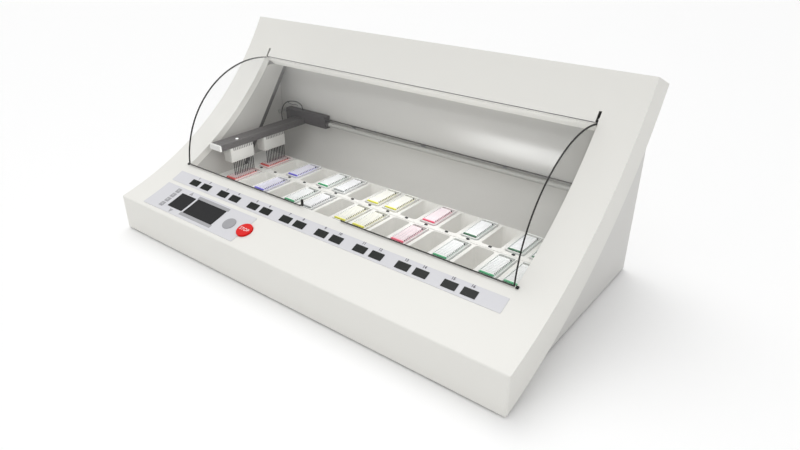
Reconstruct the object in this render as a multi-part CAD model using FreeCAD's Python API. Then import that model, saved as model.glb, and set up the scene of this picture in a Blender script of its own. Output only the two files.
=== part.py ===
import FreeCAD, Part
import math
import os

os.makedirs("parts", exist_ok=True)
Vector = FreeCAD.Vector

# All lengths are millimetres and all angles degrees. X runs across the station, Y from its front face
# to its back, Z up from the bench. The sloping fascia is part of a large drum whose axis lies along X in
# front of and above the station. Angles on the fascia are taken about that axis, from straight down.

# Casing
SIDE_MARGIN = 72.0
FRONT_REACH = 208.1
BACK_SPACE = 50.0
FASCIA_RADIUS_SHARE = 1.40151515
FASCIA_THICKNESS_SHARE = 0.13939394
FASCIA_FRONT_ANGLE = 14.45
FASCIA_TOP_ANGLE = 59.33
FASCIA_BACK_STEP = 6.0
FRONT_FACE_DROP = 1.0
BODY_RISE_SHARE = 0.57765152
SKIN = 3.0
EDGE_ROUND = 4.0
BODY_INSET = 20.0
BODY_WALL = 3.0
FOOT_HEIGHT = 4.0
FOOT_RADIUS = 12.0
FOOT_INSET = 45.0
BASE_THICKNESS = 2.0
BASE_FRONT = 18.0
FIT_GAP = 0.4
SEAT_GAP = 0.3
GLUE_GAP = 0.1
OVERRUN = 5.0

# Fascia opening
STATION_MARGIN = 20.0
OPENING_LOW_ANGLE = 26.0
OPENING_TOP_ANGLE = 51.7
SIDE_FLANGE_DEPTH = 16.0
TOP_FLANGE_DEPTH = 40.0
UNDERSIDE_LIP = 23.0
UNDERSIDE_FRONT_LIP = 14.0
UNDERSIDE_BACK_LIP = 8.0

# Stations on the deck
COLUMNS = 16
POCKET_SPACING = 8.0
ROW_SPACING = 15.9
REAR_ROW_SPACING = 2.8
DECK_DROP = 3.8
DECK_SHEET = 2.0
DECK_FRONT_SHARE = 0.27651515
POCKET_SIDE_ROOM = 2.25
POCKET_END_ROOM = 2.0
POCKET_CORNER = 7.0
POCKET_WALL = 1.2
POCKET_FLOOR_TOP = 7.8
TRAY_EDGE = 0.8
TANK_SIDE_ROOM = 4.75
TANK_END_ROOM = 10.0
TANK_WALL = 1.4
TANK_RIM_RISE = 3.0
TANK_STAND_GAP = 0.2
SLIDE_SIDE_GAP = 0.1
RACK_END_ROOM = 2.3
RACK_WALL = 1.4
RACK_FORWARD = 3.5
RACK_LEDGE = 1.2
RACK_LEDGE_WIDTH = 4.0
RACK_DROP = 1.0
RACK_WINDOW_RISE = 14.0
RACK_CORNER = 10.5
LIP_DEPTH = 4.0
LIP_HEIGHT = 2.6
SLIDES = 12
SLIDE_WIDTH = 26.0
SLIDE_LENGTH = 76.0
SLIDE_THICKNESS = 1.0
SLIDE_SPACING = 4.2
SLIDE_GAP = 0.1
MARK_WIDTH = 6.0
MARK_DEPTH = 4.0
MARK_HEIGHT = 2.0
MARK_OFFSET = 4.5
CENTRE_BAR_HEIGHT = 1.5

# Which columns hold racks, by colour, counted from the left as one
FRONT_RACKS = {"red": (1,), "violet": (3,), "green": (5, 13, 15, 16), "grey": (6,), "yellow": (8, 9),
               "pink": (11,)}
REAR_RACKS = {"red": (1,), "violet": (3,), "green": (5,), "grey": (6,), "yellow": (8, 9), "pink": (11,),
              "dark_green": (13, 15, 16)}

# Chamber walls
CHAMBER_SIDE_ROOM = 5.5
CHAMBER_SHEET = 2.0
COVE_RADIUS = 69.2
CEILING_RISE_SHARE = 0.44602273
CEILING_ROUND = 20.0
CHEEK_STEP = 2.5
CHEEK_SHEET = 2.0
SEAL_FOOT_SHARE = 0.55776515
SEAL_TOP_STEP = 15.0
SEAL_WIDTH = 10.0
SEAL_THICKNESS = 6.0
FRONT_WALL_STEP = 1.0
FRONT_WALL_HEIGHT = 33.0

# Hood
HOOD_AXIS_SHARE = 0.67424242
HOOD_AXIS_RISE_SHARE = 0.07954545
HOOD_RADIUS_SHARE = 0.41477273
HOOD_SHEET = 4.0
HOOD_FLOAT = 0.30
HOOD_TOP_ANGLE = 100.4
HOOD_CLEARANCE = 0.9
HOOD_SIDE_GAP = 1.5
HOOD_PANEL = 4.0
HOOD_PANEL_DIP = 6.0
TRIM_WIDTH = 1.8
TRIM_RISE = 0.6
TRIM_LOW_HEIGHT = 2.0
NOTCH_LEFT = -58.6
NOTCH_RIGHT = 49.4
NOTCH_HEIGHT = 14.0
NOTCH_TAB_RUN = 25.0
NOTCH_TAB_WIDTH = 3.6
NOTCH_TAB_STRIP = 1.2
HINGE_BEYOND = 10.0
HINGE_BELOW = 8.0
EAR_RADIUS = 7.0
EAR_NECK = 10.0
HINGE_PIN_RADIUS = 2.5
RUNNING_GAP = 0.05
SLIT_WIDTH = 5.6
SLIT_LENGTH = 23.0
SLIT_DEPTH = 17.0
HINGE_BRACKET_WIDTH = 14.0
HINGE_BRACKET_HALF = 6.5
HINGE_BRACKET_DEPTH = 18.0
EAR_REACH = 20.0
STOP_SIZE = 5.0
STOP_HEIGHT = 2.5

# Gantry
BEAM_SHIFT = 5.5
BEAM_WIDTH = 39.0
BEAM_HEIGHT = 14.0
BEAM_WALL = 2.0
BEAM_FRONT_SHARE = 0.35984848
END_CAP_THICKNESS = 4.0
END_CAP_ROUND = 3.0
INDICATOR_SHIFT = 3.5
INDICATOR_RADIUS = 3.5
INDICATOR_HEIGHT = 1.6
CARRIAGE_REACH = 21.0
CARRIAGE_WALL_GAP = 2.0
CARRIAGE_LEFT_RUN = 49.5
CARRIAGE_RIGHT_RUN = 105.5
CARRIAGE_HEIGHT = 39.5
CARRIAGE_WALL = 2.5
CARRIAGE_CHAMFER = 14.5
CARRIAGE_HUMP_RUN = 5.0
CARRIAGE_HUMP_RISE = 4.5
ROD_RADIUS = 5.0
ROD_WALL_GAP = 13.0
ROD_RISE = 12.5
BLOCK_LENGTH = 60.0
BLOCK_FOOT = 0.9
BLOCK_SHIFT = 7.0
HEAD_WIDTH = 26.7
HEAD_HEIGHT = 35.5
HEAD_OVERLAP = 0.5
HEAD_END_ROOM = 2.5
FRONT_HEAD_SHIFT = 4.8
REAR_HEAD_SHIFT = 9.9
HEAD_ROUND = 1.5
NIPPLE_WIDTH = 2.2
NIPPLE_HEIGHT = 2.4
NEEDLE_RADIUS = 0.9
NEEDLE_CLEARANCE = 2.6
NEEDLE_LENGTH = 35.5
PULLEY_RADIUS = 7.5
PULLEY_INSET = 22.0
BELT_WALL_GAP = 5.0
BELT_WIDTH = 3.6
BELT_THICKNESS = 1.2
FLANGE_RISE = 2.0
FLANGE_THICKNESS = 0.7
SHAFT_RADIUS = 2.5
CLAMP_LENGTH = 20.0
CLAMP_JAW = 2.2
MOTOR_SIZE = 42.0
MOTOR_LENGTH = 38.0
MOTOR_CHAMFER = 4.2
BRACKET_LENGTH = 10.0
BRACKET_HALF = 7.0
BRACKET_WEB = 2.0
BRACKET_COUNT = 5
BRACKET_INSET = 47.0
CABLE_RADIUS = 1.25
CABLE_BEND_SHARE = 0.45
CABLE_STEPS = ((-20.2, -57.0, 7.5), (-33.0, -49.0, 6.0), (-47.0, -39.0, 8.0), (-57.5, -30.0, 18.5),
               (-55.0, -26.0, 35.5), (-42.0, -25.0, 48.0), (-24.0, -24.0, 54.0), (-5.0, -22.0, 55.0),
               (10.0, -19.0, 50.5), (17.0, -15.0, 40.4))

# Controls on the fascia
LABEL_THICKNESS = 0.8
STRIP_LOW_ANGLE = 21.75
STRIP_TOP_ANGLE = 24.2
STRIP_OVERLAP = 2.0
DISPLAY_ANGLE = 22.8
DISPLAY_WIDTH = 28.4
DISPLAY_HEIGHT = 16.1
DISPLAY_GAP = 10.4
DISPLAY_PAIR_SHARE = 0.11395349
DISPLAY_SHIFT = 3.3
GLASS_THICKNESS = 0.5
PANEL_END_STEP = 1.9
PANEL_LOW_ANGLE = 15.3
PANEL_TOP_ANGLE = 21.0
SCREEN_ANGLE = 18.25
KEY_SCREEN_GAP = 13.8
SMALL_SCREEN_WIDTH = 47.0
SMALL_SCREEN_HEIGHT = 42.0
SCREEN_GAP = 9.5
MAIN_SCREEN_WIDTH = 93.0
MAIN_SCREEN_HEIGHT = 44.5
MENU_KEYS = 4
MENU_KEY_RUN = 51.7
MENU_KEY_FIRST_ANGLE = 16.47
MENU_KEY_ANGLE_STEP = 1.2
MENU_KEY_SIZE = 10.0
MENU_KEY_RISE = 1.6
ROUND_KEY_GAP = 21.7
STOP_KEY_GAP = 15.4
ROUND_KEY_ANGLE = 18.1
ROUND_KEY_RADIUS = 15.0
STOP_KEY_RADIUS = 17.5
ROUND_KEY_RISE = 2.5
STOP_KEY_RISE = 4.0
KEY_FLANGE = 1.5
KEY_FLANGE_THICKNESS = 1.2
KEY_ROUND = 1.0
BOARD_THICKNESS = 1.6
BOARD_DROP = 7.0
POST_INSET = 5.0

# Motion
KEY_PRESS = 1.0

# Inside the casing
INLET_INSET = 180.0
INLET_HEIGHT = 60.0
INLET_WIDTH = 27.0
INLET_TALL = 20.0
INLET_BODY = 22.0
INLET_WALL = 1.6
INLET_FLANGE = 6.0
BLADE_GAP = 5.0
BLADE_WIDTH = 2.0
BLADE_TALL = 4.0
BLADE_LENGTH = 12.0
VENT_COUNT = 14
VENT_GAP = 7.0
VENT_WIDTH = 5.0
VENT_LENGTH = 60.0
VENT_INSET = 230.0
VENT_HEIGHT = 110.0
HOUSING_INSET = 58.0
SUPPLY_WIDTH = 150.0
SUPPLY_LENGTH = 70.0
SUPPLY_TALL = 60.0
SUPPLY_INSET = 250.0
HOUSING_ROUND = 2.0
BOARD_WIDTH = 240.0
BOARD_TALL = 90.0
BOARD_CENTRE = -60.0
BOARD_HEIGHT = 210.0
STANDOFF_RADIUS = 3.0
STANDOFF_LENGTH = 4.0
STANDOFF_INSET = 8.0
CHIP_SIZE = 22.0
CHIP_TALL = 2.5
CHIP_GAP = 38.0
PUMP_WIDTH = 70.0
PUMP_LENGTH = 60.0
PUMP_TALL = 56.0
PUMP_INSET = 180.0
PUMP_HEAD_RADIUS = 13.0
PUMP_HEAD_LENGTH = 12.0
PORT_RADIUS = 3.0
PORT_LENGTH = 8.0
PORT_GAP = 8.0

# Widths, worked out from a slide outwards
RACK_WIDTH = SLIDE_WIDTH + 2 * (RACK_WALL + SLIDE_SIDE_GAP)
TANK_WIDTH = RACK_WIDTH + 2 * TANK_SIDE_ROOM
POCKET_WIDTH = TANK_WIDTH + 2 * POCKET_SIDE_ROOM
COLUMN_PITCH = POCKET_WIDTH + POCKET_SPACING
ROW_HALF = COLUMN_PITCH * (COLUMNS - 1) / 2
OPENING_HALF = COLUMN_PITCH * COLUMNS / 2 + STATION_MARGIN
HALF_WIDTH = OPENING_HALF + SIDE_MARGIN
WIDTH = 2 * HALF_WIDTH
BODY_HALF = HALF_WIDTH - BODY_INSET
CHAMBER_HALF = BODY_HALF - CHAMBER_SIDE_ROOM
CHEEK_FACE = OPENING_HALF + CHEEK_STEP
HOOD_PANEL_FACE = OPENING_HALF - HOOD_SIDE_GAP
PULLEY_CENTRE = CHAMBER_HALF - PULLEY_INSET
BRACKET_SPAN = CHAMBER_HALF - BRACKET_INSET
HEAD_CENTRE = -ROW_HALF
BEAM_CENTRE = HEAD_CENTRE - BEAM_SHIFT
BLOCK_CENTRE = BEAM_CENTRE - BLOCK_SHIFT
CARRIAGE_LEFT = BEAM_CENTRE - CARRIAGE_LEFT_RUN
CARRIAGE_RIGHT = BEAM_CENTRE + CARRIAGE_RIGHT_RUN
CARRIAGE_HUMP_RIGHT = BEAM_CENTRE + CARRIAGE_HUMP_RUN
STRIP_HALF = OPENING_HALF + STRIP_OVERLAP
DISPLAY_PAIR_PITCH = 2 * STRIP_HALF * DISPLAY_PAIR_SHARE
PANEL_LEFT = -STRIP_HALF
MENU_KEY_COLUMN = PANEL_LEFT + MENU_KEY_RUN
SMALL_SCREEN_CENTRE = MENU_KEY_COLUMN + MENU_KEY_SIZE / 2 + KEY_SCREEN_GAP + SMALL_SCREEN_WIDTH / 2
MAIN_SCREEN_CENTRE = SMALL_SCREEN_CENTRE + SMALL_SCREEN_WIDTH / 2 + SCREEN_GAP + MAIN_SCREEN_WIDTH / 2
ROUND_KEY_COLUMN = MAIN_SCREEN_CENTRE + MAIN_SCREEN_WIDTH / 2 + ROUND_KEY_GAP + ROUND_KEY_RADIUS
STOP_KEY_COLUMN = ROUND_KEY_COLUMN + ROUND_KEY_RADIUS + STOP_KEY_GAP + STOP_KEY_RADIUS
PANEL_RIGHT = STOP_KEY_COLUMN - PANEL_END_STEP
DISPLAY_PITCH = DISPLAY_WIDTH + DISPLAY_GAP
VENT_PITCH = VENT_WIDTH + VENT_GAP
BLADE_PITCH = BLADE_WIDTH + BLADE_GAP
CHIP_PITCH = CHIP_SIZE + CHIP_GAP
PORT_PITCH = 2 * PORT_RADIUS + PORT_GAP
INLET_CENTRE = BODY_HALF - INLET_INSET
VENT_CENTRE = BODY_HALF - VENT_INSET
SUPPLY_CENTRE = BODY_HALF - SUPPLY_INSET
PUMP_CENTRE = PUMP_INSET - BODY_HALF

# Heights of the deck and the gantry, worked out from a slide upwards
BASE_TOP = FOOT_HEIGHT + BASE_THICKNESS
RACK_HEIGHT = SLIDE_LENGTH - RACK_DROP
DECK_TOP = POCKET_FLOOR_TOP + SLIDE_LENGTH - DECK_DROP
FRONT_FACE_HEIGHT = DECK_TOP - FRONT_FACE_DROP
SLIDE_LOW = POCKET_FLOOR_TOP + TANK_WALL + 2 * TANK_STAND_GAP + RACK_LEDGE + SLIDE_GAP
NEEDLE_TIP = SLIDE_LOW + SLIDE_LENGTH + NEEDLE_CLEARANCE
HEAD_BOTTOM = NEEDLE_TIP + NEEDLE_LENGTH
BEAM_BOTTOM = HEAD_BOTTOM + HEAD_HEIGHT
CARRIAGE_BOTTOM = BEAM_BOTTOM
CARRIAGE_TOP = CARRIAGE_BOTTOM + CARRIAGE_HEIGHT
ROD_HEIGHT = BEAM_BOTTOM + ROD_RISE

# Depths, worked out from the rack and the two rows to the whole station
SLIDE_PITCH = SLIDE_THICKNESS + SLIDE_SPACING
RACK_LENGTH = SLIDE_PITCH * SLIDES + 2 * RACK_END_ROOM
RACK_WINDOW_LENGTH = RACK_LENGTH - 2 * RACK_CORNER
TANK_LENGTH = RACK_LENGTH + 2 * TANK_END_ROOM
POCKET_LENGTH = TANK_LENGTH + 2 * POCKET_END_ROOM
COVE_START = FRONT_REACH + 2 * POCKET_LENGTH + ROW_SPACING + REAR_ROW_SPACING
CHAMBER_BACK = COVE_START + COVE_RADIUS
DEPTH = CHAMBER_BACK + BACK_SPACE
REAR_ROW_DEPTH = COVE_START - REAR_ROW_SPACING - POCKET_LENGTH / 2
FRONT_ROW_DEPTH = REAR_ROW_DEPTH - POCKET_LENGTH - ROW_SPACING
HEAD_LENGTH = RACK_LENGTH + 2 * HEAD_OVERLAP
NEEDLE_PITCH = (HEAD_LENGTH - 2 * HEAD_END_ROOM) / SLIDES
FRONT_HEAD_DEPTH = FRONT_ROW_DEPTH - FRONT_HEAD_SHIFT
REAR_HEAD_DEPTH = REAR_ROW_DEPTH - REAR_HEAD_SHIFT
INDICATOR_DEPTH = FRONT_HEAD_DEPTH - INDICATOR_SHIFT
BEAM_FRONT = DEPTH * BEAM_FRONT_SHARE
CARRIAGE_FRONT = CHAMBER_BACK - CARRIAGE_REACH
CARRIAGE_BACK = CHAMBER_BACK - CARRIAGE_WALL_GAP
ROD_DEPTH = CHAMBER_BACK - ROD_WALL_GAP
BELT_DEPTH = CHAMBER_BACK - BELT_WALL_GAP
DECK_FRONT = DEPTH * DECK_FRONT_SHARE
FRONT_WALL_DEPTH = DECK_FRONT + FRONT_WALL_STEP
SEAL_FOOT_DEPTH = DEPTH * SEAL_FOOT_SHARE
SEAL_TOP_DEPTH = CHAMBER_BACK - SEAL_TOP_STEP
HOUSING_DEPTH = DEPTH - HOUSING_INSET

# The drum of the fascia and the hood, which grow with the depth
FASCIA_RADIUS = DEPTH * FASCIA_RADIUS_SHARE
FASCIA_THICKNESS = DEPTH * FASCIA_THICKNESS_SHARE
FASCIA_BACK_DEPTH = DEPTH - FASCIA_BACK_STEP
LOWER_RADIUS = FASCIA_RADIUS + FASCIA_THICKNESS
AXIS_DEPTH = -FASCIA_RADIUS * math.sin(math.radians(FASCIA_FRONT_ANGLE))
AXIS_HEIGHT = FRONT_FACE_HEIGHT + FASCIA_RADIUS * math.cos(math.radians(FASCIA_FRONT_ANGLE))
BODY_TOP = FRONT_FACE_HEIGHT + DEPTH * BODY_RISE_SHARE
CEILING_HEIGHT = FRONT_FACE_HEIGHT + DEPTH * CEILING_RISE_SHARE
HOOD_AXIS_DEPTH = DEPTH * HOOD_AXIS_SHARE
HOOD_AXIS_HEIGHT = FRONT_FACE_HEIGHT + DEPTH * HOOD_AXIS_RISE_SHARE
HOOD_RADIUS = DEPTH * HOOD_RADIUS_SHARE
HOOD_BACK_RUN = HOOD_AXIS_DEPTH - HOOD_RADIUS + HOOD_SHEET - AXIS_DEPTH
SILL_HEIGHT = AXIS_HEIGHT - math.sqrt(FASCIA_RADIUS * FASCIA_RADIUS - HOOD_BACK_RUN * HOOD_BACK_RUN)
HOOD_LOW_HEIGHT = SILL_HEIGHT + HOOD_FLOAT + TRIM_LOW_HEIGHT


def drum(radius, angle, x=0.0):
    """Point at a distance from the drum axis and an angle from straight down."""
    turn = math.radians(angle)
    return Vector(x, AXIS_DEPTH + radius * math.sin(turn), AXIS_HEIGHT - radius * math.cos(turn))


def drum_at_depth(radius, depth, x=0.0):
    """Point on a drum circle at a depth from the front face."""
    run = depth - AXIS_DEPTH
    return Vector(x, depth, AXIS_HEIGHT - math.sqrt(radius * radius - run * run))


def angle_of(point):
    """Drum angle of a point, in degrees."""
    return math.degrees(math.atan2(point.y - AXIS_DEPTH, AXIS_HEIGHT - point.z))


def normal(angle):
    """Direction out of the fascia face at a drum angle."""
    turn = math.radians(angle)
    return Vector(0.0, -math.sin(turn), math.cos(turn))


def tangent(angle):
    """Direction up along the fascia face at a drum angle."""
    turn = math.radians(angle)
    return Vector(0.0, math.cos(turn), math.sin(turn))


def box(x0, x1, y0, y1, z0, z1):
    return Part.makeBox(x1 - x0, y1 - y0, z1 - z0, Vector(x0, y0, z0))


def rod(radius, length, start, direction):
    return Part.makeCylinder(radius, length, start, direction)


def prism(points, x0, x1):
    """Solid between two x places over a closed outline given in depth and height."""
    ring = [Vector(x0, p[0], p[1]) for p in points]
    face = Part.Face(Part.makePolygon(ring + ring[:1]))
    return face.extrude(Vector(x1 - x0, 0.0, 0.0))


def drum_arc(radius, low, top, x):
    """Arc of a drum circle between two angles."""
    middle = (low + top) / 2
    return Part.Arc(drum(radius, low, x), drum(radius, middle, x), drum(radius, top, x)).toShape()


def drum_block(inner, outer, low, top, x0, x1):
    """Curved block that follows the fascia, between two radii and two angles."""
    edges = [drum_arc(inner, low, top, x0)]
    edges.append(Part.makeLine(drum(inner, top, x0), drum(outer, top, x0)))
    edges.append(drum_arc(outer, low, top, x0))
    edges.append(Part.makeLine(drum(outer, low, x0), drum(inner, low, x0)))
    face = Part.Face(Part.Wire(Part.__sortEdges__(edges)))
    return face.extrude(Vector(x1 - x0, 0.0, 0.0))


def fused(shapes):
    """One solid out of touching solids, with the seams taken out."""
    first = shapes[0]
    if len(shapes) > 1:
        first = first.fuse(shapes[1:])
    return first.removeSplitter()


def cut_all(shape, tools):
    return shape.cut(Part.makeCompound(tools)) if tools else shape


def mirrored(shape):
    return shape.mirror(Vector(0.0, 0.0, 0.0), Vector(1.0, 0.0, 0.0))


def both_sides(shape):
    return [shape, mirrored(shape)]


def rounded(shape, radius, test):
    """Round the straight edges that a test picks."""
    edges = [edge for edge in shape.Edges if test(edge)]
    return shape.makeFillet(radius, edges) if edges else shape


def is_upright(edge):
    """Whether an edge is a straight line that stands upright."""
    size = edge.BoundBox
    return size.ZLength > GLUE_GAP and size.XLength < GLUE_GAP and size.YLength < GLUE_GAP


X_AXIS = Vector(1.0, 0.0, 0.0)
Y_AXIS = Vector(0.0, 1.0, 0.0)
Z_AXIS = Vector(0.0, 0.0, 1.0)


def column_x(column):
    """Place across the station of a column counted from one at the left."""
    return -ROW_HALF + COLUMN_PITCH * (column - 1)


def slab(inset, half):
    """Fascia slab drawn in from its outline by an inset."""
    inner = FASCIA_RADIUS + inset
    outer = LOWER_RADIUS - inset
    top = drum(FASCIA_RADIUS, FASCIA_TOP_ANGLE)
    back = drum_at_depth(LOWER_RADIUS, FASCIA_BACK_DEPTH)
    way = back - top
    way.normalize()
    side = Vector(0.0, -way.z, way.y) * -inset
    front_low = drum_at_depth(outer, inset)
    front_top = drum_at_depth(inner, inset)
    edge_top = meet(top + side, way, inner)
    edge_back = meet(top + side, way, outer)
    shift = Vector(-half, 0.0, 0.0)
    p = [q + shift for q in (front_low, front_top, edge_top, edge_back)]
    upper_mid = drum(inner, (angle_of(front_top) + angle_of(edge_top)) / 2, -half)
    lower_mid = drum(outer, (angle_of(front_low) + angle_of(edge_back)) / 2, -half)
    edges = [Part.makeLine(p[0], p[1]), Part.Arc(p[1], upper_mid, p[2]).toShape()]
    edges += [Part.makeLine(p[2], p[3]), Part.Arc(p[3], lower_mid, p[0]).toShape()]
    face = Part.Face(Part.Wire(edges))
    return face.extrude(Vector(2 * half, 0.0, 0.0))


def meet(start, way, radius):
    """Point where a line meets a drum circle, on its far side."""
    rel = Vector(0.0, start.y - AXIS_DEPTH, start.z - AXIS_HEIGHT)
    along = rel.dot(way)
    rest = rel.Length ** 2 - radius ** 2
    return start + way * (-along + math.sqrt(along * along - rest))


def hinge_place():
    """Hinge line of the hood, just beyond the top edge of the opening and under the face."""
    corner = drum(FASCIA_RADIUS, OPENING_TOP_ANGLE)
    beyond = tangent(OPENING_TOP_ANGLE) * HINGE_BEYOND
    return corner + beyond - normal(OPENING_TOP_ANGLE) * HINGE_BELOW


def along_arc(length, radius=FASCIA_RADIUS):
    """Drum angle that spans a length on a circle."""
    return math.degrees(length / radius)


def ear_slit():
    """Slit in the fascia that lets one hood ear through to its hinge."""
    middle = HOOD_PANEL_FACE - HOOD_PANEL / 2
    half = SLIT_WIDTH / 2
    low = OPENING_TOP_ANGLE - along_arc(SKIN)
    top = OPENING_TOP_ANGLE + along_arc(SLIT_LENGTH)
    return drum_block(FASCIA_RADIUS - OVERRUN, FASCIA_RADIUS + SLIT_DEPTH, low, top, middle - half,
                      middle + half)


def fascia_shell():
    outer = slab(0.0, HALF_WIDTH)
    outer = rounded(outer, EDGE_ROUND, is_corner_edge)
    hollow = slab(SKIN, HALF_WIDTH - SKIN)
    well = box(-HALF_WIDTH + UNDERSIDE_LIP, HALF_WIDTH - UNDERSIDE_LIP, UNDERSIDE_FRONT_LIP,
               FASCIA_BACK_DEPTH - UNDERSIDE_BACK_LIP, 0.0, BODY_TOP)
    well = well.cut(full_drum(LOWER_RADIUS - SKIN - SKIN / 2))
    shell = outer.cut(Part.makeCompound([hollow, well]))
    flanges = opening_block(SIDE_FLANGE_DEPTH, SKIN)
    top = drum_block(FASCIA_RADIUS + SKIN / 2, FASCIA_RADIUS + TOP_FLANGE_DEPTH, OPENING_TOP_ANGLE,
                     OPENING_TOP_ANGLE + along_arc(SKIN), -OPENING_HALF - SKIN, OPENING_HALF + SKIN)
    shell = shell.fuse([flanges, top] + board_posts())
    shell = shell.cut(opening_cut())
    shell = cut_all(shell, both_sides(ear_slit()) + key_holes())
    return shell.removeSplitter()


def is_corner_edge(edge):
    """The edges at the corners of the front face and along its top."""
    box_of = edge.BoundBox
    flat = box_of.YMax < EDGE_ROUND and box_of.YMin > -EDGE_ROUND
    upright = flat and box_of.ZLength > FRONT_FACE_HEIGHT / 2
    along_top = flat and box_of.XLength > HALF_WIDTH and box_of.ZMin > FRONT_FACE_HEIGHT / 2
    return upright or along_top


def full_drum(radius):
    return rod(radius, WIDTH + 2 * OVERRUN, Vector(-HALF_WIDTH - OVERRUN, AXIS_DEPTH, AXIS_HEIGHT), X_AXIS)


def opening_block(depth, wall):
    """Block round the opening, from the middle of the skin inwards."""
    low = OPENING_LOW_ANGLE - along_arc(wall)
    top = OPENING_TOP_ANGLE + along_arc(wall)
    half = OPENING_HALF + wall
    return drum_block(FASCIA_RADIUS + SKIN / 2, FASCIA_RADIUS + depth, low, top, -half, half)


def opening_cut():
    """What is taken out to leave the opening."""
    return drum_block(FASCIA_RADIUS - OVERRUN, LOWER_RADIUS + OVERRUN, OPENING_LOW_ANGLE, OPENING_TOP_ANGLE,
                      -OPENING_HALF, OPENING_HALF)


def key_list():
    """Place and size of every key: node, x, angle, half size, rise, whether it is round."""
    keys = []
    for index in range(MENU_KEYS):
        angle = MENU_KEY_FIRST_ANGLE + MENU_KEY_ANGLE_STEP * (MENU_KEYS - 1 - index)
        keys.append((f"menu_key_{index + 1}", MENU_KEY_COLUMN, angle, MENU_KEY_SIZE / 2, MENU_KEY_RISE,
                     False))
    keys.append(("round_key", ROUND_KEY_COLUMN, ROUND_KEY_ANGLE, ROUND_KEY_RADIUS, ROUND_KEY_RISE, True))
    keys.append(("stop_key", STOP_KEY_COLUMN, ROUND_KEY_ANGLE, STOP_KEY_RADIUS, STOP_KEY_RISE, True))
    return keys


def key_body(x, angle, half, low, high, round_key):
    """Straight block or disc that stands square to the fascia between two heights over its face."""
    base = drum(FASCIA_RADIUS - low, angle, x)
    out = normal(angle)
    if round_key:
        return rod(half, high - low, base, out)
    plain = box(-half, half, -half, half, 0.0, high - low)
    plain.rotate(Vector(0.0, 0.0, 0.0), X_AXIS, angle)
    plain.translate(base)
    return plain


def key_cap(x, angle, half, rise, round_key):
    """Key with a rounded top and a flange behind the skin that keeps it in."""
    stem = key_body(x, angle, half, -SKIN - SEAT_GAP - KEY_PRESS, rise, round_key)
    face = drum(FASCIA_RADIUS - rise, angle, x)
    out = normal(angle)
    rim = [edge for edge in stem.Edges
           if all(abs((v.Point - face).dot(out)) < GLUE_GAP for v in edge.Vertexes)]
    stem = stem.makeFillet(KEY_ROUND, rim)
    foot = -SKIN - SEAT_GAP - KEY_PRESS
    flange = key_body(x, angle, half + KEY_FLANGE, foot - KEY_FLANGE_THICKNESS, foot, round_key)
    return fused([stem, flange])


def key_holes():
    """Holes in the skin for the keys."""
    holes = []
    for _, x, angle, half, _, round_key in key_list():
        holes.append(key_body(x, angle, half + FIT_GAP, -SKIN - OVERRUN, OVERRUN, round_key))
    return holes


def body_side():
    """Side panel under the fascia, on the right."""
    radius = LOWER_RADIUS + SEAT_GAP
    front = meet(Vector(0.0, 0.0, FOOT_HEIGHT), Y_AXIS, radius)
    top = Vector(0.0, AXIS_DEPTH + math.sqrt(radius ** 2 - (AXIS_HEIGHT - BODY_TOP) ** 2), BODY_TOP)
    middle = drum(radius, (angle_of(front) + angle_of(top)) / 2)
    x = Vector(BODY_HALF - BODY_WALL, 0.0, 0.0)
    front, top, middle = front + x, top + x, middle + x
    rear_top = Vector(x.x, DEPTH, BODY_TOP)
    rear_low = Vector(x.x, DEPTH, FOOT_HEIGHT)
    edges = [Part.Arc(front, middle, top).toShape(), Part.makeLine(top, rear_top)]
    edges += [Part.makeLine(rear_top, rear_low), Part.makeLine(rear_low, front)]
    panel = Part.Face(Part.Wire(edges)).extrude(Vector(BODY_WALL, 0.0, 0.0))
    return rounded(panel, BODY_WALL / 2, is_rear_edge)


def is_rear_edge(edge):
    """The outer upright edge at the back of the side panel."""
    size = edge.BoundBox
    return is_upright(edge) and size.YMin > DEPTH - GLUE_GAP and size.XMin > BODY_HALF - GLUE_GAP


def rear_panel():
    """Back wall between the side panels, with vents and the mains inlet hole."""
    half = BODY_HALF - BODY_WALL - FIT_GAP
    panel = box(-half, half, DEPTH - BODY_WALL, DEPTH, FOOT_HEIGHT, BODY_TOP)
    slots = []
    for side in (-1, 1):
        for index in range(VENT_COUNT):
            x = side * VENT_CENTRE + VENT_PITCH * (index - (VENT_COUNT - 1) / 2)
            slots.append(box(x - VENT_WIDTH / 2, x + VENT_WIDTH / 2, DEPTH - BODY_WALL * 2, DEPTH + BODY_WALL,
                             VENT_HEIGHT, VENT_HEIGHT + VENT_LENGTH))
    x, w = INLET_CENTRE, INLET_WIDTH / 2 + FIT_GAP
    low, top = INLET_HEIGHT - FIT_GAP, INLET_HEIGHT + INLET_TALL + FIT_GAP
    slots.append(box(x - w, x + w, DEPTH - BODY_WALL * 2, DEPTH + BODY_WALL, low, top))
    return cut_all(panel, slots)


def base_plate():
    half = BODY_HALF - BODY_WALL - FIT_GAP
    plate = box(-half, half, BASE_FRONT, DEPTH - BODY_WALL - FIT_GAP, FOOT_HEIGHT, BASE_TOP)
    return plate


def foot_places():
    half = BODY_HALF - FOOT_INSET
    depths = (BASE_FRONT + FOOT_INSET, DEPTH - FOOT_INSET)
    return [(side * half, depth) for side in (-1, 1) for depth in depths]


def feet():
    """Round rubber feet with a softened lower edge."""
    solids = []
    for x, y in foot_places():
        foot = Part.makeCone(FOOT_RADIUS - FOOT_HEIGHT / 2, FOOT_RADIUS, FOOT_HEIGHT - GLUE_GAP,
                             Vector(x, y, 0.0))
        solids.append(foot)
    return solids


def tray_extent(row_depth):
    """Outer edges of a station tray: x half, front and back."""
    edge = POCKET_WALL + TRAY_EDGE
    half = ROW_HALF + POCKET_WIDTH / 2 + edge
    return half, row_depth - POCKET_LENGTH / 2 - edge, row_depth + POCKET_LENGTH / 2 + edge


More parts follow.
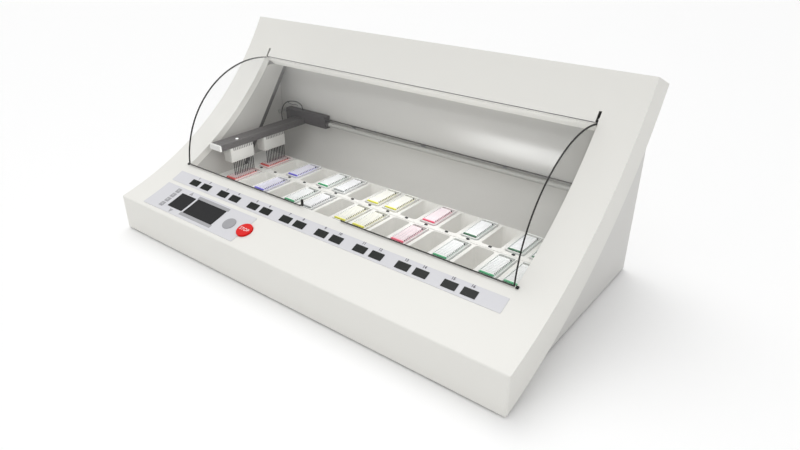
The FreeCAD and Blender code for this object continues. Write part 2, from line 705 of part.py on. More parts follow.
def rounded_block(width, length, radius, low, top, x, y):
    """Block with rounded upright corners, centred on a place."""
    block = box(x - width / 2, x + width / 2, y - length / 2, y + length / 2, low, top)
    return block.makeFillet(radius, [edge for edge in block.Edges if is_upright(edge)])


def station_tray(row_depth):
    """One row of sixteen deep pockets under a common top sheet."""
    half, front, back = tray_extent(row_depth)
    shells = [box(-half, half, front, back, DECK_TOP - DECK_SHEET, DECK_TOP)]
    hollows = []
    for column in range(1, COLUMNS + 1):
        x = column_x(column)
        grown = POCKET_WALL * 2
        shells.append(rounded_block(POCKET_WIDTH + grown, POCKET_LENGTH + grown, POCKET_CORNER + POCKET_WALL,
                                    POCKET_FLOOR_TOP - POCKET_WALL, DECK_TOP - DECK_SHEET / 2, x, row_depth))
        hollows.append(rounded_block(POCKET_WIDTH, POCKET_LENGTH, POCKET_CORNER, POCKET_FLOOR_TOP,
                                     DECK_TOP + OVERRUN, x, row_depth))
    return cut_all(fused(shells), hollows)


def deck_plate():
    """Deck round the two trays, with the raised bar between them."""
    half = CHAMBER_HALF - FIT_GAP
    plate = box(-half, half, DECK_FRONT, COVE_START - FIT_GAP, DECK_TOP - DECK_SHEET, DECK_TOP)
    windows = []
    for depth in (FRONT_ROW_DEPTH, REAR_ROW_DEPTH):
        x, front, back = tray_extent(depth)
        x, front, back = x + SEAT_GAP, front - SEAT_GAP, back + SEAT_GAP
        windows.append(box(-x, x, front, back, DECK_TOP - DECK_SHEET * 2, DECK_TOP + DECK_SHEET))
    plate = cut_all(plate, windows)
    skirt = box(-half, half, DECK_FRONT, DECK_FRONT + DECK_SHEET, BASE_TOP + SEAT_GAP,
                DECK_TOP - DECK_SHEET / 2)
    legs = [skirt]
    for side in both_sides(box(half - DECK_SHEET, half, DECK_FRONT, COVE_START - FIT_GAP, BASE_TOP + SEAT_GAP,
                               DECK_TOP - DECK_SHEET / 2)):
        legs.append(side)
    return fused([plate] + legs)


def centre_bar():
    """Low bar between the rows, which carries a mark for every column."""
    x, _, front = tray_extent(FRONT_ROW_DEPTH)
    _, back, _ = tray_extent(REAR_ROW_DEPTH)
    low = DECK_TOP + GLUE_GAP
    bar = box(-x, x, front + FIT_GAP, back - FIT_GAP, low, low + CENTRE_BAR_HEIGHT)
    return rounded(bar, CENTRE_BAR_HEIGHT / 3, is_long_top_edge)


def is_long_top_edge(edge):
    size = edge.BoundBox
    return size.XLength > ROW_HALF and size.ZMin > DECK_TOP + CENTRE_BAR_HEIGHT - GLUE_GAP


def position_marks():
    """Small studs on the centre bar, one for every column."""
    _, _, front = tray_extent(FRONT_ROW_DEPTH)
    _, back, _ = tray_extent(REAR_ROW_DEPTH)
    y = (front + back) / 2
    low = DECK_TOP + GLUE_GAP * 2 + CENTRE_BAR_HEIGHT
    marks = []
    for column in range(1, COLUMNS + 1):
        x = column_x(column) + MARK_OFFSET
        marks.append(box(x - MARK_WIDTH / 2, x + MARK_WIDTH / 2, y - MARK_DEPTH / 2, y + MARK_DEPTH / 2, low,
                         low + MARK_HEIGHT))
    return marks


def tank_floor():
    return POCKET_FLOOR_TOP + TANK_STAND_GAP


def rack_floor():
    return tank_floor() + TANK_WALL + TANK_STAND_GAP


def reagent_tank(column, row_depth):
    """Open clear tank that lines a pocket and carries a rack."""
    x = column_x(column)
    top = DECK_TOP + TANK_RIM_RISE
    corner = POCKET_CORNER - (POCKET_WIDTH - TANK_WIDTH) / 2
    outer = rounded_block(TANK_WIDTH, TANK_LENGTH, corner, tank_floor(), top, x, row_depth)
    inner = rounded_block(TANK_WIDTH - TANK_WALL * 2, TANK_LENGTH - TANK_WALL * 2, corner - TANK_WALL,
                          tank_floor() + TANK_WALL, top + OVERRUN, x, row_depth)
    return outer.cut(inner)


def slide_rack(column, row_depth):
    """Open-sided rack that holds twelve upright slides between notched rails."""
    x = column_x(column)
    y = row_depth - RACK_FORWARD
    low = rack_floor()
    top = low + RACK_HEIGHT
    half, run = RACK_WIDTH / 2, RACK_LENGTH / 2
    frame = box(x - half, x + half, y - run, y + run, low, top)
    inside = box(x - half + RACK_WALL, x + half - RACK_WALL, y - run + RACK_WALL, y + run - RACK_WALL,
                 low - OVERRUN, top + OVERRUN)
    window = box(x - half - OVERRUN, x + half + OVERRUN, y - RACK_WINDOW_LENGTH / 2,
                 y + RACK_WINDOW_LENGTH / 2,
                 low + RACK_WINDOW_RISE, top - RACK_WINDOW_RISE)
    frame = frame.cut(Part.makeCompound([inside, window]))
    parts = [frame]
    ledge = box(x - half + RACK_WALL / 2, x - half + RACK_LEDGE_WIDTH, y - run + RACK_WALL / 2,
                y + run - RACK_WALL / 2, low, low + RACK_LEDGE)
    parts += [ledge, ledge.mirror(Vector(x, 0.0, 0.0), X_AXIS)]
    parts.append(box(x - half, x + half, y - run - LIP_DEPTH, y - run + RACK_WALL / 2, top - LIP_HEIGHT, top))
    return fused(parts)


def slides_in(column, row_depth):
    """The twelve glass slides of one rack."""
    x = column_x(column)
    y = row_depth - RACK_FORWARD
    low = rack_floor() + RACK_LEDGE + SLIDE_GAP
    slides = []
    for index in range(SLIDES):
        at = y + SLIDE_PITCH * (index - (SLIDES - 1) / 2)
        slides.append(box(x - SLIDE_WIDTH / 2, x + SLIDE_WIDTH / 2, at - SLIDE_THICKNESS / 2,
                          at + SLIDE_THICKNESS / 2, low, low + SLIDE_LENGTH))
    return slides


def filled_stations():
    """Colour, column and row depth of every filled station."""
    filled = []
    for racks, depth in ((FRONT_RACKS, FRONT_ROW_DEPTH), (REAR_RACKS, REAR_ROW_DEPTH)):
        for colour, columns in racks.items():
            filled += [(colour, column, depth) for column in columns]
    return filled


def chamber_back():
    """Back of the chamber in one bent sheet: cove, wall and ceiling."""
    t = CHAMBER_SHEET
    half = CHAMBER_HALF - FIT_GAP
    cove = Vector(-half, COVE_START, DECK_TOP + COVE_RADIUS)
    upper = Vector(-half, CHAMBER_BACK - CEILING_ROUND, CEILING_HEIGHT - CEILING_ROUND)
    down, back, up = Vector(0.0, 0.0, -1.0), Y_AXIS, Z_AXIS
    low_way = (down + back).normalize()
    top_way = (up + back).normalize()
    front_edge = Vector(0.0, ceiling_front() - upper.y, 0.0)
    edges = []
    for grow in (0.0, t):
        low_arc = Part.Arc(cove + down * (COVE_RADIUS + grow), cove + low_way * (COVE_RADIUS + grow),
                           cove + back * (COVE_RADIUS + grow)).toShape()
        top_arc = Part.Arc(upper + back * (CEILING_ROUND + grow), upper + top_way * (CEILING_ROUND + grow),
                           upper + up * (CEILING_ROUND + grow)).toShape()
        wall = Part.makeLine(cove + back * (COVE_RADIUS + grow), upper + back * (CEILING_ROUND + grow))
        ceiling = Part.makeLine(upper + up * (CEILING_ROUND + grow),
                                upper + up * (CEILING_ROUND + grow) + front_edge)
        edges += [low_arc, wall, top_arc, ceiling]
    edges.append(Part.makeLine(cove + down * COVE_RADIUS, cove + down * (COVE_RADIUS + t)))
    edges.append(Part.makeLine(upper + up * CEILING_ROUND + front_edge,
                               upper + up * (CEILING_ROUND + t) + front_edge))
    face = Part.Face(Part.Wire(Part.__sortEdges__(edges)))
    sheet = face.extrude(Vector(2 * half, 0.0, 0.0))
    holes = []
    for side in (-1, 1):
        start = Vector(side * PULLEY_CENTRE, CHAMBER_BACK - t, ROD_HEIGHT)
        holes.append(rod(SHAFT_RADIUS + FIT_GAP * 2, t * 3, start, Y_AXIS))
    return cut_all(sheet, holes)


def ceiling_front():
    """Depth at which the ceiling meets the back of the flange over the opening."""
    angle = OPENING_TOP_ANGLE + along_arc(SKIN, FASCIA_RADIUS)
    turn = math.radians(angle)
    return AXIS_DEPTH + (AXIS_HEIGHT - CEILING_HEIGHT) * math.tan(turn) + SEAT_GAP * 2


def chamber_side():
    """Liner beside the recess at the back of the chamber, on the right."""
    low, top = DECK_TOP + SEAT_GAP, CEILING_HEIGHT - SEAT_GAP
    x = CHAMBER_HALF
    front = SEAL_FOOT_DEPTH - SEAL_THICKNESS * 2
    panel = box(x, x + CHAMBER_SHEET, front, CHAMBER_BACK - SEAT_GAP, low, top)
    room = inside_chamber(x, x + CHAMBER_SHEET)
    return panel.common(full_drum_ring()).common(room).removeSplitter()


def full_drum_ring():
    """Everything farther from the drum axis than the fascia skin and the flange."""
    block = box(-WIDTH, WIDTH, 0.0, DEPTH * 2, -DEPTH, DEPTH)
    return block.cut(full_drum(FASCIA_RADIUS + SKIN + SEAT_GAP))


def seal_line():
    """Foot and top of the slanted line where a cheek ends."""
    return (SEAL_FOOT_DEPTH, DECK_TOP + SEAT_GAP), (SEAL_TOP_DEPTH, CEILING_HEIGHT - SEAT_GAP)


def inside_chamber(x0, x1):
    """Room in front of the back wall and its rounded corner under the ceiling."""
    radius = CEILING_ROUND - SEAT_GAP
    centre = Vector(x0, CHAMBER_BACK - CEILING_ROUND, CEILING_HEIGHT - CEILING_ROUND)
    corner = rod(radius, x1 - x0, centre, X_AXIS)
    ahead = box(x0, x1, 0.0, centre.y, 0.0, CEILING_HEIGHT - SEAT_GAP)
    below = box(x0, x1, 0.0, CHAMBER_BACK - SEAT_GAP, 0.0, centre.z)
    return fused([corner, ahead, below])


def cheek():
    """Inner side wall from the fascia opening back to the slanted line, on the right."""
    (foot_y, low), (top_y, top) = seal_line()
    points = [(FRONT_WALL_DEPTH, low), (foot_y, low), (top_y, top), (FRONT_WALL_DEPTH, top)]
    panel = prism(points, CHEEK_FACE, CHEEK_FACE + CHEEK_SHEET)
    panel = panel.cut(full_drum(FASCIA_RADIUS + SIDE_FLANGE_DEPTH + SEAT_GAP))
    blocker = drum_block(FASCIA_RADIUS, FASCIA_RADIUS + TOP_FLANGE_DEPTH + SEAT_GAP,
                         OPENING_TOP_ANGLE - along_arc(SEAT_GAP),
                         OPENING_TOP_ANGLE + along_arc(SKIN + SEAT_GAP * 2), CHEEK_FACE - SKIN,
                         CHEEK_FACE + SKIN * 2)
    panel = panel.cut(blocker).common(inside_chamber(CHEEK_FACE, CHEEK_FACE + CHEEK_SHEET))
    pieces = sorted(panel.Solids, key=lambda solid: solid.Volume)
    return pieces[-1]


def seal_strip():
    """Dark strip along the slanted rear edge of a cheek, on the right."""
    (foot_y, low), (top_y, top) = seal_line()
    rise = math.hypot(top_y - foot_y, top - low)
    run = SEAL_WIDTH * rise / (top - low)
    gap = SEAT_GAP * rise / (top - low)
    points = [(foot_y + gap, low), (foot_y + gap + run, low), (top_y + gap + run, top), (top_y + gap, top)]
    strip = prism(points, CHEEK_FACE, CHEEK_FACE + SEAL_THICKNESS)
    return strip.common(inside_chamber(CHEEK_FACE, CHEEK_FACE + SEAL_THICKNESS)).removeSplitter()


def front_wall():
    """Low wall between the deck and the lower edge of the opening."""
    low = DECK_TOP + SEAT_GAP
    half = CHEEK_FACE - SEAT_GAP
    return box(-half, half, FRONT_WALL_DEPTH, FRONT_WALL_DEPTH + DECK_SHEET, low, low + FRONT_WALL_HEIGHT)


def hood_point(radius, angle, x=0.0):
    """Point on the hood circle, by an angle from straight forward and upwards."""
    turn = math.radians(angle)
    return Vector(x, HOOD_AXIS_DEPTH - radius * math.cos(turn), HOOD_AXIS_HEIGHT + radius * math.sin(turn))


def hood_block(inner, outer, low, top, x0, x1):
    """Curved block that follows the hood sheet."""
    middle = (low + top) / 2
    p = [hood_point(inner, low, x0), hood_point(inner, top, x0), hood_point(outer, top, x0),
         hood_point(outer, low, x0)]
    edges = [Part.Arc(p[0], hood_point(inner, middle, x0), p[1]).toShape(), Part.makeLine(p[1], p[2])]
    edges += [Part.Arc(p[2], hood_point(outer, middle, x0), p[3]).toShape(), Part.makeLine(p[3], p[0])]
    return Part.Face(Part.Wire(edges)).extrude(Vector(x1 - x0, 0.0, 0.0))


def hood_low_angle():
    return math.degrees(math.asin((HOOD_LOW_HEIGHT - HOOD_AXIS_HEIGHT) / HOOD_RADIUS))


def trim_face():
    return HOOD_PANEL_FACE - TRIM_WIDTH


def hood_sheet():
    """Bent clear sheet with a finger notch in its lower edge."""
    half = trim_face() - GLUE_GAP
    front = HOOD_AXIS_DEPTH - HOOD_RADIUS
    sheet = hood_block(HOOD_RADIUS - HOOD_SHEET, HOOD_RADIUS, hood_low_angle(), HOOD_TOP_ANGLE, -half, half)
    below = box(-half, half, front - OVERRUN, front + HOOD_SHEET * 2, HOOD_AXIS_HEIGHT, HOOD_LOW_HEIGHT)
    sheet = sheet.cut(below)
    notch = box(NOTCH_LEFT, NOTCH_RIGHT, front - OVERRUN, front + HOOD_SHEET * 2, HOOD_AXIS_HEIGHT,
                HOOD_LOW_HEIGHT + NOTCH_HEIGHT)
    across = [edge for edge in notch.Edges if abs(edge.BoundBox.YLength - notch.BoundBox.YLength) < GLUE_GAP]
    corners = [edge for edge in across if edge.BoundBox.ZMin > HOOD_LOW_HEIGHT]
    return sheet.cut(notch.makeFillet(TRIM_WIDTH, corners))


def ear_solid():
    """Hinge ear: a disc round the hinge line and a neck that runs to the side panel."""
    place = hinge_place()
    x0 = HOOD_PANEL_FACE - HOOD_PANEL
    disc = rod(EAR_RADIUS, HOOD_PANEL, Vector(x0, place.y, place.z), X_AXIS)
    goal = drum(FASCIA_RADIUS, OPENING_TOP_ANGLE) - tangent(OPENING_TOP_ANGLE) * EAR_RADIUS
    way = (goal - place).normalize()
    across = Vector(0.0, -way.z, way.y) * (EAR_NECK / 2)
    far = place + way * EAR_REACH
    ring = [place + across, far + across, far - across, place - across]
    neck = prism([(q.y, q.z) for q in ring], x0, x0 + HOOD_PANEL)
    return disc.fuse(neck)


def hood_side():
    """Flat clear side of the hood with its hinge ear, on the right."""
    x0 = HOOD_PANEL_FACE - HOOD_PANEL
    inner = HOOD_RADIUS - HOOD_SHEET - GLUE_GAP
    disc = rod(inner, HOOD_PANEL, Vector(x0, HOOD_AXIS_DEPTH, HOOD_AXIS_HEIGHT), X_AXIS)
    low = OPENING_LOW_ANGLE + along_arc(HOOD_CLEARANCE)
    top = OPENING_TOP_ANGLE - along_arc(HOOD_CLEARANCE)
    sector = drum_block(FASCIA_RADIUS - HOOD_RADIUS, FASCIA_RADIUS + HOOD_PANEL_DIP, low, top, x0,
                        x0 + HOOD_PANEL)
    panel = disc.common(sector)
    panel = panel.fuse(ear_solid().common(outside_hood_limit(inner, x0)))
    panel = panel.removeSplitter()
    place = hinge_place()
    bore = rod(HINGE_PIN_RADIUS + RUNNING_GAP, HOOD_PANEL * 3, Vector(x0 - HOOD_PANEL, place.y, place.z),
               X_AXIS)
    return panel.cut(bore)


def outside_hood_limit(radius, x0):
    """Room that the ear may fill: under the sheet, or behind its top edge."""
    disc = rod(radius, HOOD_PANEL, Vector(x0, HOOD_AXIS_DEPTH, HOOD_AXIS_HEIGHT), X_AXIS)
    edge = hood_point(HOOD_RADIUS + TRIM_RISE, HOOD_TOP_ANGLE + math.degrees(GLUE_GAP * 2 / HOOD_RADIUS))
    behind = box(x0, x0 + HOOD_PANEL, 0.0, DEPTH, -DEPTH, 0.0)
    behind.rotate(Vector(0.0, 0.0, 0.0), X_AXIS, 90.0 - HOOD_TOP_ANGLE)
    behind.translate(Vector(0.0, edge.y, edge.z))
    behind = behind.cut(rod(radius, HOOD_PANEL, Vector(x0, HOOD_AXIS_DEPTH, HOOD_AXIS_HEIGHT), X_AXIS))
    return disc.fuse(behind)


def hood_trims():
    """Dark edging down both curved edges and along the lower edge, left open at the notch."""
    low = hood_low_angle()
    x0 = trim_face()
    inner = HOOD_RADIUS - HOOD_SHEET
    side = hood_block(inner, HOOD_RADIUS + TRIM_RISE, low, HOOD_TOP_ANGLE, x0, HOOD_PANEL_FACE)
    front = HOOD_AXIS_DEPTH - HOOD_RADIUS
    below = box(x0, HOOD_PANEL_FACE, front - OVERRUN, front + HOOD_SHEET * 2, HOOD_AXIS_HEIGHT,
                HOOD_LOW_HEIGHT)
    side = side.cut(below)
    base = HOOD_LOW_HEIGHT - GLUE_GAP
    strips = []
    for x_low, x_top in ((-HOOD_PANEL_FACE, NOTCH_LEFT), (NOTCH_RIGHT, HOOD_PANEL_FACE)):
        strips.append(box(x_low, x_top, front, front + HOOD_SHEET, base - TRIM_LOW_HEIGHT, base))
    return both_sides(side) + strips


def notch_tab():
    """Dark tab at the left of the finger notch with a short run along its top."""
    front = HOOD_AXIS_DEPTH - HOOD_RADIUS
    low = HOOD_LOW_HEIGHT
    top = low + NOTCH_HEIGHT - GLUE_GAP
    left = NOTCH_LEFT + TRIM_WIDTH + GLUE_GAP
    upright = box(left, left + NOTCH_TAB_WIDTH, front + TRIM_RISE, front + HOOD_SHEET, low, top)
    run = box(left, left + NOTCH_TAB_RUN, front + TRIM_RISE, front + HOOD_SHEET, top - NOTCH_TAB_STRIP, top)
    return fused([upright, run])


def hinge_pins():
    place = hinge_place()
    start = HOOD_PANEL_FACE - HOOD_PANEL - SEAT_GAP
    end = HOOD_PANEL_FACE + HINGE_BRACKET_WIDTH
    pin = rod(HINGE_PIN_RADIUS, end - start, Vector(start, place.y, place.z), X_AXIS)
    return both_sides(pin)


def hinge_brackets():
    """Block under the skin that holds each hinge pin."""
    x0 = OPENING_HALF + SKIN + SEAT_GAP
    x1 = HOOD_PANEL_FACE + HINGE_BRACKET_WIDTH + SEAT_GAP
    middle = OPENING_TOP_ANGLE + along_arc(HINGE_BEYOND)
    half = along_arc(HINGE_BRACKET_HALF)
    inner = FASCIA_RADIUS + SKIN + SEAT_GAP
    block = drum_block(inner, inner + HINGE_BRACKET_DEPTH, middle - half, middle + half, x0, x1)
    place = hinge_place()
    bore = rod(HINGE_PIN_RADIUS + RUNNING_GAP, HINGE_BRACKET_WIDTH * 2, Vector(x0 - SKIN, place.y, place.z),
               X_AXIS)
    return both_sides(block.cut(bore))


def corner_stops():
    """Small pads beside the lower corners of the opening."""
    angle = OPENING_LOW_ANGLE
    half = STOP_SIZE / 2
    x = OPENING_HALF + half + SEAT_GAP
    base = FASCIA_RADIUS - GLUE_GAP
    pad = drum_block(base - STOP_HEIGHT, base, angle - along_arc(half), angle + along_arc(half), x - half,
                     x + half)
    return both_sides(pad)


def guide_rail():
    """Round guide rod along the back of the chamber."""
    half = CHAMBER_HALF - SEAT_GAP * 2
    return rod(ROD_RADIUS, 2 * half, Vector(-half, ROD_DEPTH, ROD_HEIGHT), X_AXIS)


def rail_brackets():
    """Supports that carry the rod from behind, clear of the belt runs."""
    supports = []
    wall = CHAMBER_BACK - SEAT_GAP
    front = ROD_DEPTH + ROD_RADIUS + GLUE_GAP
    for index in range(BRACKET_COUNT):
        x = BRACKET_SPAN * (2 * index / (BRACKET_COUNT - 1) - 1)
        x0, x1 = x - BRACKET_LENGTH / 2, x + BRACKET_LENGTH / 2
        web = box(x0, x1, front, wall, ROD_HEIGHT - BRACKET_WEB, ROD_HEIGHT + BRACKET_WEB)
        foot = box(x0, x1, wall - BRACKET_WEB, wall, ROD_HEIGHT - BRACKET_HALF, ROD_HEIGHT + BRACKET_HALF)
        supports.append(fused([web, foot]))
    return supports


def racetrack(radius, depth, width):
    """Flat block with round ends about both pulley centres."""
    start = depth - width / 2
    left = rod(radius, width, Vector(-PULLEY_CENTRE, start, ROD_HEIGHT), Y_AXIS)
    right = rod(radius, width, Vector(PULLEY_CENTRE, start, ROD_HEIGHT), Y_AXIS)
    middle = box(-PULLEY_CENTRE, PULLEY_CENTRE, start, start + width, ROD_HEIGHT - radius,
                 ROD_HEIGHT + radius)
    return fused([left, middle, right])


def belt_radii():
    inner = PULLEY_RADIUS + RUNNING_GAP
    return inner, inner + BELT_THICKNESS


def drive_belt():
    inner, outer = belt_radii()
    return racetrack(outer, BELT_DEPTH, BELT_WIDTH).cut(racetrack(inner, BELT_DEPTH, BELT_WIDTH * 3))


def pulley(x):
    """Belt pulley with a flange on both sides."""
    half = BELT_WIDTH / 2 + GLUE_GAP
    hub = rod(PULLEY_RADIUS, 2 * half, Vector(x, BELT_DEPTH - half, ROD_HEIGHT), Y_AXIS)
    flanges = []
    for y in (BELT_DEPTH - half - FLANGE_THICKNESS, BELT_DEPTH + half):
        flanges.append(rod(PULLEY_RADIUS + FLANGE_RISE, FLANGE_THICKNESS, Vector(x, y, ROD_HEIGHT), Y_AXIS))
    return fused([hub] + flanges)


def motor_face():
    return CHAMBER_BACK + CHAMBER_SHEET + SEAT_GAP


def drive_pulley():
    """Pulley on the motor shaft, which reaches through the back wall."""
    start = Vector(-PULLEY_CENTRE, BELT_DEPTH, ROD_HEIGHT)
    shaft = rod(SHAFT_RADIUS, motor_face() + MOTOR_LENGTH / 3 - BELT_DEPTH, start, Y_AXIS)
    return fused([pulley(-PULLEY_CENTRE), shaft])


def idler_pulley():
    start = Vector(PULLEY_CENTRE, BELT_DEPTH - BELT_WIDTH * 2, ROD_HEIGHT)
    return pulley(PULLEY_CENTRE).cut(rod(SHAFT_RADIUS + RUNNING_GAP, BELT_WIDTH * 4, start, Y_AXIS))


def idler_pin():
    """Fixed pin for the idler, on a round foot against the wall."""
    front = BELT_DEPTH - BELT_WIDTH / 2 - FLANGE_THICKNESS
    wall = CHAMBER_BACK - SEAT_GAP
    pin = rod(SHAFT_RADIUS, wall - front, Vector(PULLEY_CENTRE, front, ROD_HEIGHT), Y_AXIS)
    foot_start = BELT_DEPTH + BELT_WIDTH / 2 + GLUE_GAP + FLANGE_THICKNESS + SEAT_GAP
    foot = rod(PULLEY_RADIUS, wall - foot_start, Vector(PULLEY_CENTRE, foot_start, ROD_HEIGHT), Y_AXIS)
    return fused([pin, foot])


def gantry_motor():
    """Square motor behind the back wall, bored for its shaft."""
    half = MOTOR_SIZE / 2
    x, front = -PULLEY_CENTRE, motor_face()
    body = box(x - half, x + half, front, front + MOTOR_LENGTH, ROD_HEIGHT - half, ROD_HEIGHT + half)
    edges = [e for e in body.Edges if abs(e.BoundBox.YLength - MOTOR_LENGTH) < GLUE_GAP]
    body = body.makeChamfer(MOTOR_CHAMFER, edges)
    return body.cut(rod(SHAFT_RADIUS + RUNNING_GAP, MOTOR_LENGTH / 2, Vector(x, front - OVERRUN, ROD_HEIGHT),
                        Y_AXIS))


def carriage_housing():
    """Cover of the carriage, open at the back, with a gap in both ends for the rod and the belt."""
    chamfer = CARRIAGE_CHAMFER
    points = [(CARRIAGE_LEFT, CARRIAGE_TOP), (CARRIAGE_RIGHT, CARRIAGE_TOP)]
    points += [(CARRIAGE_RIGHT, CARRIAGE_BOTTOM + chamfer), (CARRIAGE_RIGHT - chamfer, CARRIAGE_BOTTOM)]
    points += [(CARRIAGE_LEFT + chamfer, CARRIAGE_BOTTOM), (CARRIAGE_LEFT, CARRIAGE_BOTTOM + chamfer)]
    ring = [Vector(p[0], CARRIAGE_FRONT, p[1]) for p in points]
    way = Vector(0.0, CARRIAGE_BACK - CARRIAGE_FRONT, 0.0)
    outer = Part.Face(Part.makePolygon(ring + ring[:1])).extrude(way)
    rim = [edge for edge in outer.Edges if edge.BoundBox.YMax < CARRIAGE_FRONT + GLUE_GAP]
    outer = outer.makeFillet(END_CAP_ROUND / 2, rim)
    wall = CARRIAGE_WALL
    hollow = box(CARRIAGE_LEFT + wall, CARRIAGE_RIGHT - wall, CARRIAGE_FRONT + wall, CARRIAGE_BACK + OVERRUN,
                 CARRIAGE_BOTTOM + wall, CARRIAGE_TOP - wall)
    small = [(CARRIAGE_LEFT, CARRIAGE_BOTTOM), (CARRIAGE_RIGHT, CARRIAGE_BOTTOM)]
    for x, z in small:
        side = 1 if x < (CARRIAGE_LEFT + CARRIAGE_RIGHT) / 2 else -1
        reach = CARRIAGE_CHAMFER + wall * 2
        corner = [Vector(x, CARRIAGE_FRONT, z), Vector(x + side * reach, CARRIAGE_FRONT, z),
                  Vector(x, CARRIAGE_FRONT, z + reach)]
        wedge = Part.Face(Part.makePolygon(corner + corner[:1])).extrude(Vector(0.0, CARRIAGE_BACK, 0.0))
        hollow = hollow.cut(wedge)
    radius = PULLEY_RADIUS + FLANGE_RISE + SEAT_GAP * 2
    passage = box(CARRIAGE_LEFT - OVERRUN, CARRIAGE_RIGHT + OVERRUN, CARRIAGE_FRONT + wall,
                  CARRIAGE_BACK + OVERRUN,
                  ROD_HEIGHT - radius, ROD_HEIGHT + radius)
    shell = outer.cut(Part.makeCompound([hollow, passage]))
    hump = box(CARRIAGE_LEFT + wall, CARRIAGE_HUMP_RIGHT, CARRIAGE_FRONT + wall / 2, CARRIAGE_BACK - wall,
               CARRIAGE_TOP - wall / 2, CARRIAGE_TOP + CARRIAGE_HUMP_RISE)
    hump = hump.makeFillet(END_CAP_ROUND / 2, [e for e in hump.Edges if e.BoundBox.ZMin > CARRIAGE_TOP])
    return fused([shell, hump])


def runner_block():
    """Bearing that runs on the rod, open behind for the supports, with jaws round the belt."""
    x0, x1 = BLOCK_CENTRE - BLOCK_LENGTH / 2, BLOCK_CENTRE + BLOCK_LENGTH / 2
    front = CARRIAGE_FRONT + CARRIAGE_WALL + GLUE_GAP
    back = BELT_DEPTH - BELT_WIDTH / 2 - SEAT_GAP
    inner, outer = belt_radii()
    low_jaw = ROD_HEIGHT + inner - GLUE_GAP - CLAMP_JAW
    high_jaw = ROD_HEIGHT + outer + GLUE_GAP
    body = box(x0, x1, front, back, ROD_HEIGHT - inner - BLOCK_FOOT, high_jaw + CLAMP_JAW)
    jaws = []
    for z in (low_jaw, high_jaw):
        jaws.append(box(BLOCK_CENTRE - CLAMP_LENGTH / 2, BLOCK_CENTRE + CLAMP_LENGTH / 2, back - SEAT_GAP,
                        BELT_DEPTH + BELT_WIDTH / 2, z, z + CLAMP_JAW))
    block = fused([body] + jaws)
    bore = rod(ROD_RADIUS + RUNNING_GAP, BLOCK_LENGTH * 2, Vector(x0 - OVERRUN, ROD_DEPTH, ROD_HEIGHT),
               X_AXIS)
    web = BRACKET_WEB + SEAT_GAP * 2
    slot = box(x0 - OVERRUN, x1 + OVERRUN, ROD_DEPTH, back + OVERRUN, ROD_HEIGHT - web, ROD_HEIGHT + web)
    return block.cut(Part.makeCompound([bore, slot]))


def beam():
    """Hollow cross beam over the two rows."""
    x0, x1 = BEAM_CENTRE - BEAM_WIDTH / 2, BEAM_CENTRE + BEAM_WIDTH / 2
    back = CARRIAGE_FRONT - GLUE_GAP
    top = BEAM_BOTTOM + BEAM_HEIGHT
    tube = box(x0, x1, BEAM_FRONT, back, BEAM_BOTTOM, top)
    tube = tube.makeFillet(END_CAP_ROUND, [e for e in tube.Edges if e.BoundBox.YLength > BEAM_WIDTH and
                                           e.BoundBox.ZMin > top - GLUE_GAP])
    hollow = box(x0 + BEAM_WALL, x1 - BEAM_WALL, BEAM_FRONT - OVERRUN, back - BEAM_WALL,
                 BEAM_BOTTOM + BEAM_WALL,
                 top - BEAM_WALL)
    return tube.cut(hollow)


def beam_end_cap():
    x0, x1 = BEAM_CENTRE - BEAM_WIDTH / 2, BEAM_CENTRE + BEAM_WIDTH / 2
    top = BEAM_BOTTOM + BEAM_HEIGHT
    back = BEAM_FRONT - GLUE_GAP
    cap = box(x0, x1, back - END_CAP_THICKNESS, back, BEAM_BOTTOM, top)
    uprights = [e for e in cap.Edges
                if e.BoundBox.YLength > END_CAP_THICKNESS / 2 and e.BoundBox.ZMin > top - GLUE_GAP]
    cap = cap.makeFillet(END_CAP_ROUND, uprights)
    rim = [e for e in cap.Edges if e.BoundBox.YMax < back - END_CAP_THICKNESS / 2]
    cap = cap.makeFillet(END_CAP_THICKNESS / 4, rim)
    gap = BEAM_WALL + FIT_GAP
    plug = box(x0 + gap, x1 - gap, back - END_CAP_THICKNESS / 2, back + END_CAP_THICKNESS, BEAM_BOTTOM + gap,
               top - gap)
    return fused([cap, plug])


def beam_indicator():
    """Small round lamp on top of the beam."""
    top = BEAM_BOTTOM + BEAM_HEIGHT + GLUE_GAP
    x = HEAD_CENTRE + INDICATOR_RADIUS / 2
    lamp = rod(INDICATOR_RADIUS, INDICATOR_HEIGHT, Vector(x, INDICATOR_DEPTH, top), Z_AXIS)
    return lamp.makeFillet(INDICATOR_HEIGHT / 2, [e for e in lamp.Edges if e.BoundBox.ZMin > top + GLUE_GAP])


def needle_depths(depth):
    return [depth + NEEDLE_PITCH * (index - (SLIDES - 1) / 2) for index in range(SLIDES)]


def dispense_head(depth):
    """Block under the beam with a row of small tube spigots along its upper edge."""
    half, run = HEAD_WIDTH / 2, HEAD_LENGTH / 2
    top = BEAM_BOTTOM - GLUE_GAP
    head = box(HEAD_CENTRE - half, HEAD_CENTRE + half, depth - run, depth + run, HEAD_BOTTOM, top)
    low = [e for e in head.Edges if e.BoundBox.ZMax < HEAD_BOTTOM + GLUE_GAP or is_upright(e)]
    head = head.makeFillet(HEAD_ROUND, low)
    parts = [head]
    for y in needle_depths(depth):
        parts.append(box(HEAD_CENTRE, HEAD_CENTRE + half + NIPPLE_WIDTH / 2, y - NIPPLE_WIDTH / 2,
                         y + NIPPLE_WIDTH / 2, top - NIPPLE_HEIGHT * 2, top - NIPPLE_HEIGHT))
    return fused(parts)


def needles(depth):
    """Row of twelve dispensing needles."""
    top = HEAD_BOTTOM - GLUE_GAP
    return [rod(NEEDLE_RADIUS, top - NEEDLE_TIP, Vector(HEAD_CENTRE, y, NEEDLE_TIP), Z_AXIS)
            for y in needle_depths(depth)]


